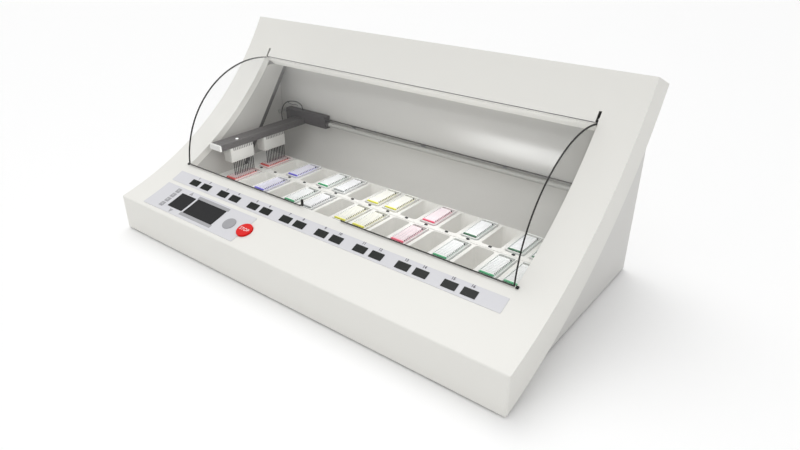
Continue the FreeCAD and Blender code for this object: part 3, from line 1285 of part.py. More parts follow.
def gantry_cable():
    """Looped cable from the side of the beam up to the top of the carriage."""
    origin = Vector(BEAM_CENTRE, CHAMBER_BACK, BEAM_BOTTOM)
    points = [origin + Vector(*step) for step in CABLE_STEPS]
    setback = CABLE_BEND_SHARE
    edges = []
    start = points[0]
    for before, at, after in zip(points, points[1:], points[2:]):
        run_in, run_out = at - before, after - at
        reach = setback * min(run_in.Length, run_out.Length)
        way_in, way_out = Vector(run_in).normalize(), Vector(run_out).normalize()
        first, last = at - way_in * reach, at + way_out * reach
        half_turn = way_in.getAngle(way_out) / 2
        radius = reach / math.tan(half_turn)
        inward = (way_out - way_in).normalize()
        middle = at + inward * (radius / math.cos(half_turn) - radius)
        print("cable bend radius", round(radius, 1))
        edges.append(Part.LineSegment(start, first).toShape())
        edges.append(Part.Arc(first, middle, last).toShape())
        start = last
    edges.append(Part.LineSegment(start, points[-1]).toShape())
    route = Part.Wire(edges)
    way = (points[1] - points[0]).normalize()
    ring = Part.Wire(Part.makeCircle(CABLE_RADIUS, points[0], way))
    tube = route.makePipeShell([ring], True, True)
    print("cable length", round(route.Length, 1), "volume share",
          round(tube.Volume / (math.pi * CABLE_RADIUS ** 2 * route.Length), 4))
    return tube


def display_strip():
    base = FASCIA_RADIUS - GLUE_GAP
    return drum_block(base - LABEL_THICKNESS, base, STRIP_LOW_ANGLE, STRIP_TOP_ANGLE, -STRIP_HALF, STRIP_HALF)


def glass_base():
    return FASCIA_RADIUS - GLUE_GAP * 2 - LABEL_THICKNESS


def glass_tile(x, angle, width, height):
    """Thin curved window glued on a fascia label."""
    base = glass_base()
    half = along_arc(height / 2)
    return drum_block(base - GLASS_THICKNESS, base, angle - half, angle + half, x - width / 2, x + width / 2)


def status_displays():
    """Sixteen small displays in eight pairs."""
    tiles = []
    for pair in range(COLUMNS // 2):
        middle = DISPLAY_PAIR_PITCH * (pair - (COLUMNS / 2 - 1) / 2) + DISPLAY_SHIFT
        for side in (-1, 1):
            tiles.append(glass_tile(middle + side * DISPLAY_PITCH / 2, DISPLAY_ANGLE, DISPLAY_WIDTH,
                                    DISPLAY_HEIGHT))
    return tiles


def control_panel():
    base = FASCIA_RADIUS - GLUE_GAP
    panel = drum_block(base - LABEL_THICKNESS, base, PANEL_LOW_ANGLE, PANEL_TOP_ANGLE, PANEL_LEFT,
                       PANEL_RIGHT)
    return cut_all(panel, key_holes())


def board_place():
    """Centre of the key board across the station, and half its width and length."""
    right = STOP_KEY_COLUMN + STOP_KEY_RADIUS * 2
    run = FASCIA_RADIUS * math.radians(PANEL_TOP_ANGLE - PANEL_LOW_ANGLE) / 2
    return (PANEL_LEFT + right) / 2, (right - PANEL_LEFT) / 2, run


def panel_board():
    """Printed board under the keys."""
    centre, half, run = board_place()
    board = box(-half, half, -run, run, 0.0, BOARD_THICKNESS)
    board.rotate(Vector(0.0, 0.0, 0.0), X_AXIS, ROUND_KEY_ANGLE)
    board.translate(drum(FASCIA_RADIUS + BOARD_DROP + BOARD_THICKNESS, ROUND_KEY_ANGLE, centre))
    return board


def board_posts():
    """Posts under the skin that carry the key board at its corners."""
    centre, half, run = board_place()
    out = normal(ROUND_KEY_ANGLE)
    along = tangent(ROUND_KEY_ANGLE)
    posts = []
    for across in (-1, 1):
        for up in (-1, 1):
            foot = drum(FASCIA_RADIUS + BOARD_DROP - SEAT_GAP, ROUND_KEY_ANGLE,
                        centre + across * (half - POST_INSET))
            post = rod(STANDOFF_RADIUS, BOARD_DROP, foot + along * (up * (run - POST_INSET)), out)
            posts.append(post.cut(full_drum(FASCIA_RADIUS + SKIN / 2)))
    return posts


def standing_board():
    """Main circuit board on four posts on the rear panel."""
    half = BOARD_WIDTH / 2
    wall = DEPTH - BODY_WALL - SEAT_GAP
    back = wall - STANDOFF_LENGTH
    x, low, top = BOARD_CENTRE, BOARD_HEIGHT, BOARD_HEIGHT + BOARD_TALL
    parts = [box(x - half, x + half, back - BOARD_THICKNESS, back, low, top)]
    for px in (x - half + STANDOFF_INSET, x + half - STANDOFF_INSET):
        for pz in (low + STANDOFF_INSET, top - STANDOFF_INSET):
            parts.append(rod(STANDOFF_RADIUS, STANDOFF_LENGTH, Vector(px, back, pz), Y_AXIS))
    middle = (low + top) / 2
    front = back - BOARD_THICKNESS
    for index in (-1, 0, 1):
        cx = x + index * CHIP_PITCH
        parts.append(box(cx - CHIP_SIZE / 2, cx + CHIP_SIZE / 2, front - CHIP_TALL, front,
                         middle - CHIP_SIZE / 2,
                         middle + CHIP_SIZE / 2))
    return fused(parts)


def floor_box(centre, width, length, tall):
    """Rounded housing that stands on the base plate."""
    low = BASE_TOP + SEAT_GAP
    return rounded_block(width, length, HOUSING_ROUND, low, low + tall, centre, HOUSING_DEPTH)


def power_supply():
    return floor_box(SUPPLY_CENTRE, SUPPLY_WIDTH, SUPPLY_LENGTH, SUPPLY_TALL)


def dosing_pump():
    """Pump that feeds the two heads, with two hose ports on its round end."""
    body = floor_box(PUMP_CENTRE, PUMP_WIDTH, PUMP_LENGTH, PUMP_TALL)
    x = PUMP_CENTRE + PUMP_WIDTH / 2 - HOUSING_ROUND
    z = BASE_TOP + SEAT_GAP + PUMP_TALL / 2
    head = rod(PUMP_HEAD_RADIUS, PUMP_HEAD_LENGTH, Vector(x, HOUSING_DEPTH, z), X_AXIS)
    ports = []
    for side in (-1, 1):
        start = Vector(x + PUMP_HEAD_LENGTH - HOUSING_ROUND, HOUSING_DEPTH + side * PORT_PITCH / 2, z)
        ports.append(rod(PORT_RADIUS, PORT_LENGTH, start, X_AXIS))
    return fused([body, head] + ports)


def mains_inlet():
    """Recessed inlet with three blades, held by a flange behind the panel."""
    half = INLET_WIDTH / 2
    x, low, top = INLET_CENTRE, INLET_HEIGHT, INLET_HEIGHT + INLET_TALL
    back = DEPTH - INLET_WALL / 2
    body = box(x - half, x + half, back - INLET_BODY, back, low, top)
    inner = box(x - half + INLET_WALL, x + half - INLET_WALL, back - INLET_BODY + INLET_WALL * 2,
                back + OVERRUN,
                low + INLET_WALL, top - INLET_WALL)
    wall = DEPTH - BODY_WALL - SEAT_GAP
    flange = box(x - half - INLET_FLANGE, x + half + INLET_FLANGE, wall - INLET_WALL, wall,
                 low - INLET_FLANGE / 2,
                 top + INLET_FLANGE / 2)
    shell = fused([body, flange]).cut(inner)
    blades = []
    middle = (low + top) / 2
    for index in (-1, 0, 1):
        bx = x + index * BLADE_PITCH
        bz = middle + (BLADE_TALL / 2 if index == 0 else -BLADE_TALL / 2)
        start = back - INLET_BODY + INLET_WALL
        blades.append(box(bx - BLADE_WIDTH / 2, bx + BLADE_WIDTH / 2, start, start + BLADE_LENGTH,
                          bz - BLADE_TALL / 2, bz + BLADE_TALL / 2))
    return fused([shell] + blades)


def racks_by_colour():
    """One group of racks for every colour."""
    groups = {}
    for colour, column, depth in filled_stations():
        groups.setdefault(f"racks_{colour}", []).append(slide_rack(column, depth))
    return groups


def all_nodes():
    """Every node by name, each a list of solids."""
    filled = filled_stations()
    nodes = {
        "fascia_shell": [fascia_shell()],
        "body_side_right": [body_side()],
        "body_side_left": [mirrored(body_side())],
        "rear_panel": [rear_panel()],
        "base_plate": [base_plate()],
        "rubber_feet": feet(),
        "deck_plate": [deck_plate()],
        "station_tray_front": [station_tray(FRONT_ROW_DEPTH)],
        "station_tray_rear": [station_tray(REAR_ROW_DEPTH)],
        "centre_bar": [centre_bar()],
        "position_marks": position_marks(),
        "chamber_back": [chamber_back()],
        "chamber_sides": both_sides(chamber_side()),
        "chamber_cheeks": both_sides(cheek()),
        "wall_seals": both_sides(seal_strip()),
        "chamber_front_wall": [front_wall()],
        "reagent_tanks": [reagent_tank(column, depth) for _, column, depth in filled],
        "glass_slides": [slide for _, column, depth in filled for slide in slides_in(column, depth)],
        "hood_sheet": [hood_sheet()],
        "hood_side_right": [hood_side()],
        "hood_side_left": [mirrored(hood_side())],
        "hood_trims": hood_trims() + [notch_tab()],
        "hinge_pins": hinge_pins(),
        "hinge_brackets": hinge_brackets(),
        "corner_stops": corner_stops(),
        "guide_rail": [guide_rail()],
        "rail_brackets": rail_brackets() + [idler_pin()],
        "drive_belt": [drive_belt()],
        "drive_pulley": [drive_pulley()],
        "idler_pulley": [idler_pulley()],
        "gantry_motor": [gantry_motor()],
        "carriage_housing": [carriage_housing()],
        "runner_block": [runner_block()],
        "gantry_beam": [beam()],
        "beam_end_cap": [beam_end_cap()],
        "beam_indicator": [beam_indicator()],
        "dispense_heads": [dispense_head(FRONT_HEAD_DEPTH), dispense_head(REAR_HEAD_DEPTH)],
        "needles": needles(FRONT_HEAD_DEPTH) + needles(REAR_HEAD_DEPTH),
        "gantry_cable": [gantry_cable()],
        "display_strip": [display_strip()],
        "status_displays": status_displays(),
        "control_panel": [control_panel()],
        "panel_screens": [glass_tile(SMALL_SCREEN_CENTRE, SCREEN_ANGLE, SMALL_SCREEN_WIDTH,
                                     SMALL_SCREEN_HEIGHT),
                          glass_tile(MAIN_SCREEN_CENTRE, SCREEN_ANGLE, MAIN_SCREEN_WIDTH,
                                     MAIN_SCREEN_HEIGHT)],
        "circuit_boards": [panel_board(), standing_board()],
        "power_supply": [power_supply()],
        "dosing_pump": [dosing_pump()],
        "mains_inlet": [mains_inlet()],
    }
    nodes.update(racks_by_colour())
    for name, x, angle, half, rise, round_key in key_list():
        nodes[name] = [key_cap(x, angle, half, rise, round_key)]
    return nodes


def main():
    to_centre = Vector(0.0, -DEPTH / 2, 0.0)
    for name, solids in all_nodes().items():
        shape = solids[0] if len(solids) == 1 else Part.makeCompound(solids)
        shape.translate(to_centre)
        size = shape.BoundBox
        print(name, len(shape.Solids), shape.isValid(), [round(v, 1) for v in (
            size.XMin, size.XMax, size.YMin, size.YMax, size.ZMin, size.ZMax)])
        shape.exportStep(f"parts/{name}.step")


main()
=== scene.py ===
"""Bench-top slide processing station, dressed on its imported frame.

Metres. +X runs across the station to the viewer's right, +Y from its front face to its back, +Z up from the bench.
"""

import logging
import math
from dataclasses import dataclass
from enum import Enum

import bpy
import numpy as np
from mathutils import Matrix


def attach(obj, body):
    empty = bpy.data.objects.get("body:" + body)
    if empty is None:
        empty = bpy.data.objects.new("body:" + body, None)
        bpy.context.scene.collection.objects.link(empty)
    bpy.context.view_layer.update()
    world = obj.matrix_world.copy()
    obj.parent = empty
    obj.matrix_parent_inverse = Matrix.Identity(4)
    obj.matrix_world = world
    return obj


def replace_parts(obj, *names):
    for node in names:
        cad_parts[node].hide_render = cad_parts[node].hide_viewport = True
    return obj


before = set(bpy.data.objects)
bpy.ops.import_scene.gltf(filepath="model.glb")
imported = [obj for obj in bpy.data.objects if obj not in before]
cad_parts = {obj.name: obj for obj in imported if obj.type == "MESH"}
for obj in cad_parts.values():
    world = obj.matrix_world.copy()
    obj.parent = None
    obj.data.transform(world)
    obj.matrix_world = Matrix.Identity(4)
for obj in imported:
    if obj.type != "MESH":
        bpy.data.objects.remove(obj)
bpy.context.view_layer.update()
log = logging.getLogger("station")

MM = 0.001
DEPTH = 0.528
SHARP_ANGLE = 32


def from_screen(code: str) -> tuple[float, float, float]:
    """Linear colour of a six-digit screen colour.

    Args:
        code: red, green and blue as hexadecimal pairs.

    Returns:
        Red, green and blue for a shader.
    """
    values = [int(code[i:i + 2], 16) / 255 for i in (0, 2, 4)]
    return tuple(v / 12.92 if v <= 0.04045 else ((v + 0.055) / 1.055) ** 2.4 for v in values)


def blank_material(title: str) -> tuple:
    """New material with nodes.

    Args:
        title: its name.

    Returns:
        The material, its nodes and its shader.
    """
    material = bpy.data.materials.new(title)
    material.use_nodes = True
    nodes = material.node_tree.nodes
    return material, nodes, nodes["Principled BSDF"]


def feed(node: bpy.types.Node, values: dict) -> bpy.types.Node:
    """Give a shader node's inputs their values, or the sockets that they are linked to.

    Args:
        node: the shader node.
        values: value or output socket for every input, by the input's name or number.

    Returns:
        The same node.
    """
    for name, value in values.items():
        if isinstance(value, bpy.types.NodeSocket):
            node.id_data.links.new(value, node.inputs[name])
        else:
            node.inputs[name].default_value = value
    return node


class Look:
    """Anything that a piece can be made of."""

    name: str

    def build(self) -> bpy.types.Material:
        """Node material, made once."""
        title = f"look_{self.name}"
        return bpy.data.materials.get(title) or self.make(title)

    def make(self, title: str) -> bpy.types.Material:
        """Make the node material under its title."""
        raise NotImplementedError


class Grain(Enum):
    """How the fine texture of a finish runs."""

    EVEN = (1.0, 1.0, 1.0)
    ALONG_X = (0.02, 1.0, 1.0)
    ALONG_Z = (1.0, 1.0, 0.02)


@dataclass(frozen=True)
class Finish(Look):
    """A painted, moulded or metal finish with a fine grain.

    The colour wanders by colour_share over cloud_size, the roughness by wear_share over grain_size, and the relief is
    grain_size wide and grain_depth of it deep. The surface may give off its own colour: the real light of a lamp lens,
    or painted fill light on a surface that is no lamp.
    """

    name: str
    code: str
    roughness: float = 0.5
    metallic: float = 0.0
    coat: float = 0.0
    specular: float = 0.4
    colour_share: float = 0.03
    cloud_size: float = 0.08
    grain_size: float = 0.0012
    relief: float = 0.08
    grain: Grain = Grain.EVEN
    lamp_glow_and_painted_fill: float = 0.0
    wear_share: float = 0.06
    grain_depth: float = 0.2

    def make(self, title: str) -> bpy.types.Material:
        """Make the node material under its title."""
        material, nodes, shader = blank_material(title)
        place = nodes.new("ShaderNodeTexCoord").outputs["Object"]
        stretch = feed(nodes.new("ShaderNodeMapping"), {"Vector": place, "Scale": self.grain.value}).outputs["Vector"]
        cloud = feed(nodes.new("ShaderNodeTexNoise"), {"Vector": stretch, "Scale": 1 / self.cloud_size, "Detail": 3.0})
        fine = feed(nodes.new("ShaderNodeTexNoise"), {"Vector": stretch, "Scale": 1 / self.grain_size, "Detail": 2.0})
        base = np.array(from_screen(self.code))
        tint = nodes.new("ShaderNodeMix")
        tint.data_type = "RGBA"
        feed(tint, {"Factor": cloud.outputs["Fac"], "A": (*(base * (1 - self.colour_share)), 1.0),
                    "B": (*np.minimum(base * (1 + self.colour_share), 1.0), 1.0)})
        wear = feed(nodes.new("ShaderNodeMapRange"),
                    {"Value": fine.outputs["Fac"], "To Min": max(self.roughness - self.wear_share, 0.02),
                     "To Max": min(self.roughness + self.wear_share, 1.0)})
        bump = feed(nodes.new("ShaderNodeBump"), {"Height": fine.outputs["Fac"], "Strength": self.relief,
                                                  "Distance": self.grain_size * self.grain_depth})
        feed(shader, {"Base Color": tint.outputs["Result"], "Roughness": wear.outputs["Result"],
                      "Normal": bump.outputs["Normal"], "Metallic": self.metallic, "Coat Weight": self.coat,
                      "Coat Roughness": 0.12, "Specular IOR Level": self.specular})
        # Emission of the base colour: a lamp lens's own light, and painted fill light on the trays and rack frames.
        if self.lamp_glow_and_painted_fill:
            feed(shader, {"Emission Color": (*base, 1.0), "Emission Strength": self.lamp_glow_and_painted_fill})
        return material


@dataclass(frozen=True)
class ClearFinish(Look):
    """A clear sheet: mostly see-through, brighter at a glancing angle, with a faint body tint."""

    name: str
    code: str
    body: float = 0.05
    gloss: float = 0.9
    roughness: float = 0.03
    mirror: float = 0.6

    def make(self, title: str) -> bpy.types.Material:
        """Make the node material under its title."""
        material, nodes, shader = blank_material(title)
        edge = feed(nodes.new("ShaderNodeFresnel"), {"IOR": 1.49}).outputs["Fac"]
        amount = feed(nodes.new("ShaderNodeMapRange"), {"Value": edge, "To Min": self.body, "To Max": self.gloss})
        side = nodes.new("ShaderNodeNewGeometry").outputs["Backfacing"]
        outer = feed(nodes.new("ShaderNodeMix"), {"Factor": side, "A": amount.outputs["Result"], "B": self.body})
        place = nodes.new("ShaderNodeTexCoord").outputs["Object"]
        ripple = feed(nodes.new("ShaderNodeTexNoise"), {"Vector": place, "Scale": 30.0}).outputs["Fac"]
        haze = feed(nodes.new("ShaderNodeMapRange"), {"Value": ripple, "To Min": self.roughness,
                                                      "To Max": self.roughness + 0.04})
        feed(shader, {"Base Color": (*from_screen(self.code), 1.0), "Metallic": self.mirror,
                      "Alpha": outer.outputs["Result"], "Roughness": haze.outputs["Result"]})
        return material


FASCIA_WHITE = Finish("fascia_white", "EBEAE5", 0.5, specular=0.2, colour_share=0.006)
BODY_GREY = Finish("body_grey", "DCDBD8", 0.5, specular=0.2, colour_share=0.01)
CHAMBER_GREY = Finish("chamber_grey", "C6C5C1", 0.55, specular=0.2, colour_share=0.012)
# The trays give off a little of their own colour: painted fill light that lightens the pockets and deck under the
# hood.
TRAY_GREY = Finish("tray_grey", "D6D5D1", 0.5, specular=0.2, colour_share=0.012, lamp_glow_and_painted_fill=0.16)
STEEL = Finish("plated_steel", "B4B4B6", 0.3, 1.0, colour_share=0.05, grain=Grain.ALONG_X)
RAIL_GREY = Finish("rail_grey", "B4B4B0", 0.4, 0.2, colour_share=0.02, grain=Grain.ALONG_X)
NEEDLE_STEEL = Finish("needle_steel", "2B2B2E", 0.45, 0.2, colour_share=0.05, grain=Grain.ALONG_Z)
ALUMINIUM = Finish("turned_aluminium", "C9C9CB", 0.32, 1.0, colour_share=0.04)
BLACK_RUBBER = Finish("black_rubber", "1C1C1D", 0.75, colour_share=0.08, relief=0.3)
SEAL_RUBBER = Finish("seal_rubber", "4B4947", 0.7, colour_share=0.05, relief=0.2)
DARK_PLASTIC = Finish("dark_plastic", "1E1E20", 0.5, colour_share=0.06)
EDGE_BLACK = Finish("edge_black", "2A2928", 0.55, specular=0.2, colour_share=0.05)
DARK_METAL = Finish("dark_coat", "333336", 0.5, 0.2, colour_share=0.05)
GRAPHITE = Finish("graphite", "535050", 0.4, specular=0.3, colour_share=0.04)
CARRIAGE_GREY = Finish("carriage_grey", "474445", 0.45, specular=0.3, colour_share=0.04)
WHITE_PLASTIC = Finish("white_plastic", "EFEFED", 0.35, colour_share=0.01)
LENS = Finish("lamp_lens", "FFFFFF", 0.2, coat=0.5, lamp_glow_and_painted_fill=0.4)
LABEL = Finish("label_film", "D8D8DC", 0.5, specular=0.2, colour_share=0.006, relief=0.03)
DISPLAY = Finish("display_window", "181C19", 0.45, specular=0.12, colour_share=0.06, relief=0.0)
SCREEN = Finish("screen_window", "202022", 0.45, specular=0.12, colour_share=0.05, relief=0.0)
BOARD = Finish("solder_mask", "1F6B3A", 0.35, coat=0.3, colour_share=0.15, cloud_size=0.01)
# Grey for the printed station numbers, and for the painted shadow line along the opening's upper edge.
INK_AND_SHADOW = Finish("printed_grey_and_painted_shadow", "5E5E66", 0.5, specular=0.2, colour_share=0.02)
MARK_WHITE = Finish("printed_white", "F4F4F4", 0.45, colour_share=0.01)
BAR_GREY = Finish("printed_bar", "A8A8AB", 0.5, specular=0.2, colour_share=0.02)
KEY_GREY = Finish("key_grey", "A3A3A7", 0.5, specular=0.2, colour_share=0.015)
KEY_RED = Finish("key_red", "E0120F", 0.45, specular=0.15, colour_share=0.02)
HOOD_CLEAR = ClearFinish("hood_acrylic", "F6F7F7", 0.0, 0.9, 0.2)
TANK_CLEAR = ClearFinish("tank_plastic", "F4F5F4", 0.3, 0.6, 0.1, mirror=0.0)
SLIDE_GLASS = ClearFinish("slide_glass", "EEF6F3", 0.35, 0.8, 0.05, mirror=0.1)
FROSTED = Finish("frosted_end", "F6F6F8", 0.55, specular=0.2, colour_share=0.01)
TOOTH_GREY = Finish("tooth_grey", "3C3F42", 0.5, colour_share=0.05)
EAR_GREY = Finish("ear_grey", "868688", 0.5, colour_share=0.05)
RIM_CLEAR = Finish("tank_rim", "F7F8F6", 0.3, coat=0.3, colour_share=0.01)
HEAD_WHITE = Finish("head_white", "CCCBC7", 0.45, specular=0.2, colour_share=0.012)

# Screen colours of every rack: its lip, its combs and its frame.
RACK_CODES = {"red": ("E0453F", "E0A9A8", "D98C89"), "violet": ("6F67DF", "E9E7FA", "D5D3F1"),
              "green": ("2FA56B", "F4F7F4", "DDE6E0"), "grey": ("9FA3A3", "F3F4F4", "E0E2E2"),
              "yellow": ("E4E04A", "F7F6E4", "ECEACF"), "pink": ("EE5C78", "F7DDE2", "ECCBD1"),
              "dark_green": ("2F6B4A", "F0F2F1", "D6DEDA")}

# Nodes of every finish. The racks have their own.
FINISH_NODES = {
    FASCIA_WHITE: "fascia_shell",
    BODY_GREY: "body_side_left body_side_right rear_panel",
    STEEL: "base_plate hinge_pins rail_brackets power_supply",
    BLACK_RUBBER: "rubber_feet corner_stops gantry_cable",
    TRAY_GREY: "deck_plate station_tray_front station_tray_rear centre_bar",
    DARK_PLASTIC: "position_marks runner_block mains_inlet",
    CHAMBER_GREY: "chamber_back chamber_sides chamber_cheeks chamber_front_wall",
    SEAL_RUBBER: "wall_seals drive_belt",
    TANK_CLEAR: "reagent_tanks",
    SLIDE_GLASS: "glass_slides",
    HOOD_CLEAR: "hood_sheet hood_side_left hood_side_right",
    EDGE_BLACK: "hood_trims",
    EAR_GREY: "hinge_brackets",
    RAIL_GREY: "guide_rail",
    ALUMINIUM: "drive_pulley idler_pulley",
    DARK_METAL: "gantry_motor dosing_pump",
    CARRIAGE_GREY: "carriage_housing",
    GRAPHITE: "gantry_beam",
    WHITE_PLASTIC: "beam_end_cap dispense_heads",
    LENS: "beam_indicator",
    NEEDLE_STEEL: "needles",
    LABEL: "display_strip control_panel",
    DISPLAY: "status_displays panel_screens",
    BOARD: "circuit_boards",
    KEY_GREY: "menu_key_1 menu_key_2 menu_key_3 menu_key_4 round_key",
    KEY_RED: "stop_key",
}

# Points and faces.
Shape = tuple[np.ndarray, "list | np.ndarray"]


def stack(shapes: list) -> Shape:
    """Join several sets of points and faces into one.

    Args:
        shapes: pairs of points and faces.

    Returns:
        Points and faces of them all.
    """
    points, faces, start = [], [], 0
    for some, theirs in shapes:
        points.append(np.asarray(some, float).reshape(-1, 3))
        faces.extend([[int(k) + start for k in face] for face in theirs])
        start += len(points[-1])
    return np.concatenate(points), faces


def add_piece(name: str, shapes: list, finish: Look, body: str, smooth: bool = True) -> bpy.types.Object:
    """Make one mesh piece from its shapes.

    Args:
        name: the piece's name.
        shapes: pairs of points and faces.
        finish: what it is made of.
        body: the CAD body that it rides on.
        smooth: whether its faces are shaded as one curve, broken at sharp edges.

    Returns:
        The new object, at the origin.
    """
    points, faces = stack(shapes)
    mesh = bpy.data.meshes.new(name)
    mesh.from_pydata(points.tolist(), [], faces)
    mesh.materials.append(finish.build())
    mesh.update()
    item = bpy.data.objects.new(name, mesh)
    bpy.context.scene.collection.objects.link(item)
    if smooth:
        mesh.shade_smooth()
        mesh.set_sharp_from_angle(angle=math.radians(SHARP_ANGLE))
    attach(item, body)
    return item


def grid_faces(rows: int, columns: int, wrap_rows: bool = False, wrap_columns: bool = False,
               start: int = 0) -> np.ndarray:
    """Four-cornered faces of a grid of points counted row by row.

    Args:
        rows: number of rows of points.
        columns: number of points in a row.
        wrap_rows: whether the last row joins the first.
        wrap_columns: whether the last point of a row joins its first.
        start: number of the grid's first point.

    Returns:
        An array of faces.
    """
    i = np.arange(rows if wrap_rows else rows - 1)[:, None]
    j = np.arange(columns if wrap_columns else columns - 1)[None, :]
    a = i * columns + j
    b = i * columns + (j + 1) % columns
    c = ((i + 1) % rows) * columns + (j + 1) % columns
    d = ((i + 1) % rows) * columns + j
    return np.stack([a, b, c, d], -1).reshape(-1, 4) + start


def soft_box(low: tuple, high: tuple, round_by: float, steps: int = 3) -> Shape:
    """Box with rounded edges.

    A ball of radius round_by is split into eight parts, and each part is moved to its own corner of the box drawn
    in by that radius. The ball's angles are doubled where it is split, so that flat faces join the parts.

    Args:
        low: lowest corner.
        high: highest corner.
        round_by: radius of the edges.
        steps: parts in a quarter turn.

    Returns:
        Points and faces.
    """
    low, high = np.array(low, float), np.array(high, float)
    quarter = np.linspace(0, np.pi / 2, steps + 1)
    around = np.concatenate([quarter + k * np.pi / 2 for k in range(4)])
    upward = np.concatenate([quarter - np.pi / 2, quarter])
    turn, lift = np.meshgrid(around, upward)
    way = np.stack([np.cos(lift) * np.cos(turn), np.cos(lift) * np.sin(turn), np.sin(lift)], -1)
    quadrant = np.repeat(np.arange(4), steps + 1)[None, :].repeat(len(upward), 0)
    upper = np.repeat([0, 1], steps + 1)[:, None].repeat(len(around), 1)
    sign = np.stack([np.where((quadrant == 0) | (quadrant == 3), 1, 0), np.where(quadrant < 2, 1, 0), upper], -1)
    centre = np.where(sign == 1, high - round_by, low + round_by)
    points = (centre + way * round_by).reshape(-1, 3)
    rows, columns = len(upward), len(around)
    faces = [list(f) for f in grid_faces(rows, columns, wrap_columns=True)]
    faces.append(list(range(columns))[::-1])
    faces.append(list(range((rows - 1) * columns, rows * columns)))
    return points, faces


@dataclass(frozen=True)
class Drum:
    """The drum that the fascia is part of. Angles are in degrees from straight down, radii from its axis."""

    radius: float = 0.740
    front_angle: float = 14.45
    front_height: float = 0.079

    def point(self, radius: float, angle: np.ndarray, x: np.ndarray) -> np.ndarray:
        """Places at a radius: y = axis + radius sin(angle), z = axis - radius cos(angle).

        Args:
            radius: distance from the axis.
            angle: drum angles.
            x: places across the station.

        Returns:
            An array of places.
        """
        first = math.radians(self.front_angle)
        turn = np.radians(angle)
        y = -self.radius * math.sin(first) - DEPTH / 2 + radius * np.sin(turn)
        z = self.front_height + self.radius * math.cos(first) - radius * np.cos(turn)
        return np.stack(np.broadcast_arrays(x, y, z), -1)

    def up(self, angle: float) -> np.ndarray:
        """Direction up along the face."""
        turn = math.radians(angle)
        return np.array([0.0, math.cos(turn), math.sin(turn)])

    def tile(self, x0: float, x1: float, low: float, top: float, rise: float, thick: float, corner: float = 0.0,
             steps: int = 24) -> Shape:
        """Curved plate on the face, with rounded corners.

        The outline is a rectangle with quarter circles at its corners, at the plate's foot and again at its top. Each
        is made of strips across it, which are narrower near the corners.

        Args:
            x0: left edge.
            x1: right edge.
            low: lower drum angle.
            top: upper drum angle.
            rise: height of its foot over the face.
            thick: its thickness.
            corner: radius of its corners.
            steps: strips from its lower to its upper edge.

        Returns:
            Points and faces.
        """
        run = math.radians(top - low) * self.radius
        v = (1 - np.cos(np.linspace(0, np.pi, steps + 1))) / 2 * run
        near = np.minimum(v, run - v)
        inset = np.where(near < corner, corner - np.sqrt(np.maximum(corner ** 2 - (corner - near) ** 2, 0)), 0.0)
        u = np.linspace(0, 1, 5)[None, :]
        x = (x0 + inset)[:, None] * (1 - u) + (x1 - inset)[:, None] * u
        angle = (low + np.degrees(v / self.radius))[:, None] + 0 * u
        foot = self.point(self.radius - rise, angle, x)
        face = self.point(self.radius - rise - thick, angle, x)
        rows, columns = x.shape
        count = rows * columns
        faces = [list(f) for f in grid_faces(rows, columns, start=count)]
        faces += [list(f)[::-1] for f in grid_faces(rows, columns)]
        rim = list(range(columns)) + [r * columns + columns - 1 for r in range(1, rows)]
        rim += [(rows - 1) * columns + c for c in range(columns - 2, -1, -1)]
        rim += [r * columns for r in range(rows - 2, 0, -1)]
        for a, b in zip(rim, rim[1:] + rim[:1]):
            faces.append([a, b, b + count, a + count])
        return np.concatenate([foot.reshape(-1, 3), face.reshape(-1, 3)]), faces


def flat_text(words: str, height: float, bold: float = 0.0) -> Shape:
    """Outline of upright words as a flat mesh about the origin, X along the line and Y up.

    Args:
        words: what it says.
        height: height of a capital.
        bold: how far its strokes are widened.

    Returns:
        Points and faces.
    """
    curve = bpy.data.curves.new("words", "FONT")
    curve.body = words
    curve.align_x = "CENTER"
    curve.align_y = "CENTER"
    curve.size = height / 0.7
    curve.resolution_u = 3
    curve.offset = bold
    holder = bpy.data.objects.new("words", curve)
    bpy.context.scene.collection.objects.link(holder)
    bpy.context.view_layer.update()
    mesh = bpy.data.meshes.new_from_object(holder.evaluated_get(bpy.context.evaluated_depsgraph_get()))
    points = np.empty(len(mesh.vertices) * 3)
    mesh.vertices.foreach_get("co", points)
    faces = [list(face.vertices) for face in mesh.polygons]
    bpy.data.objects.remove(holder)
    bpy.data.curves.remove(curve)
    bpy.data.meshes.remove(mesh)
    return points.reshape(-1, 3), faces


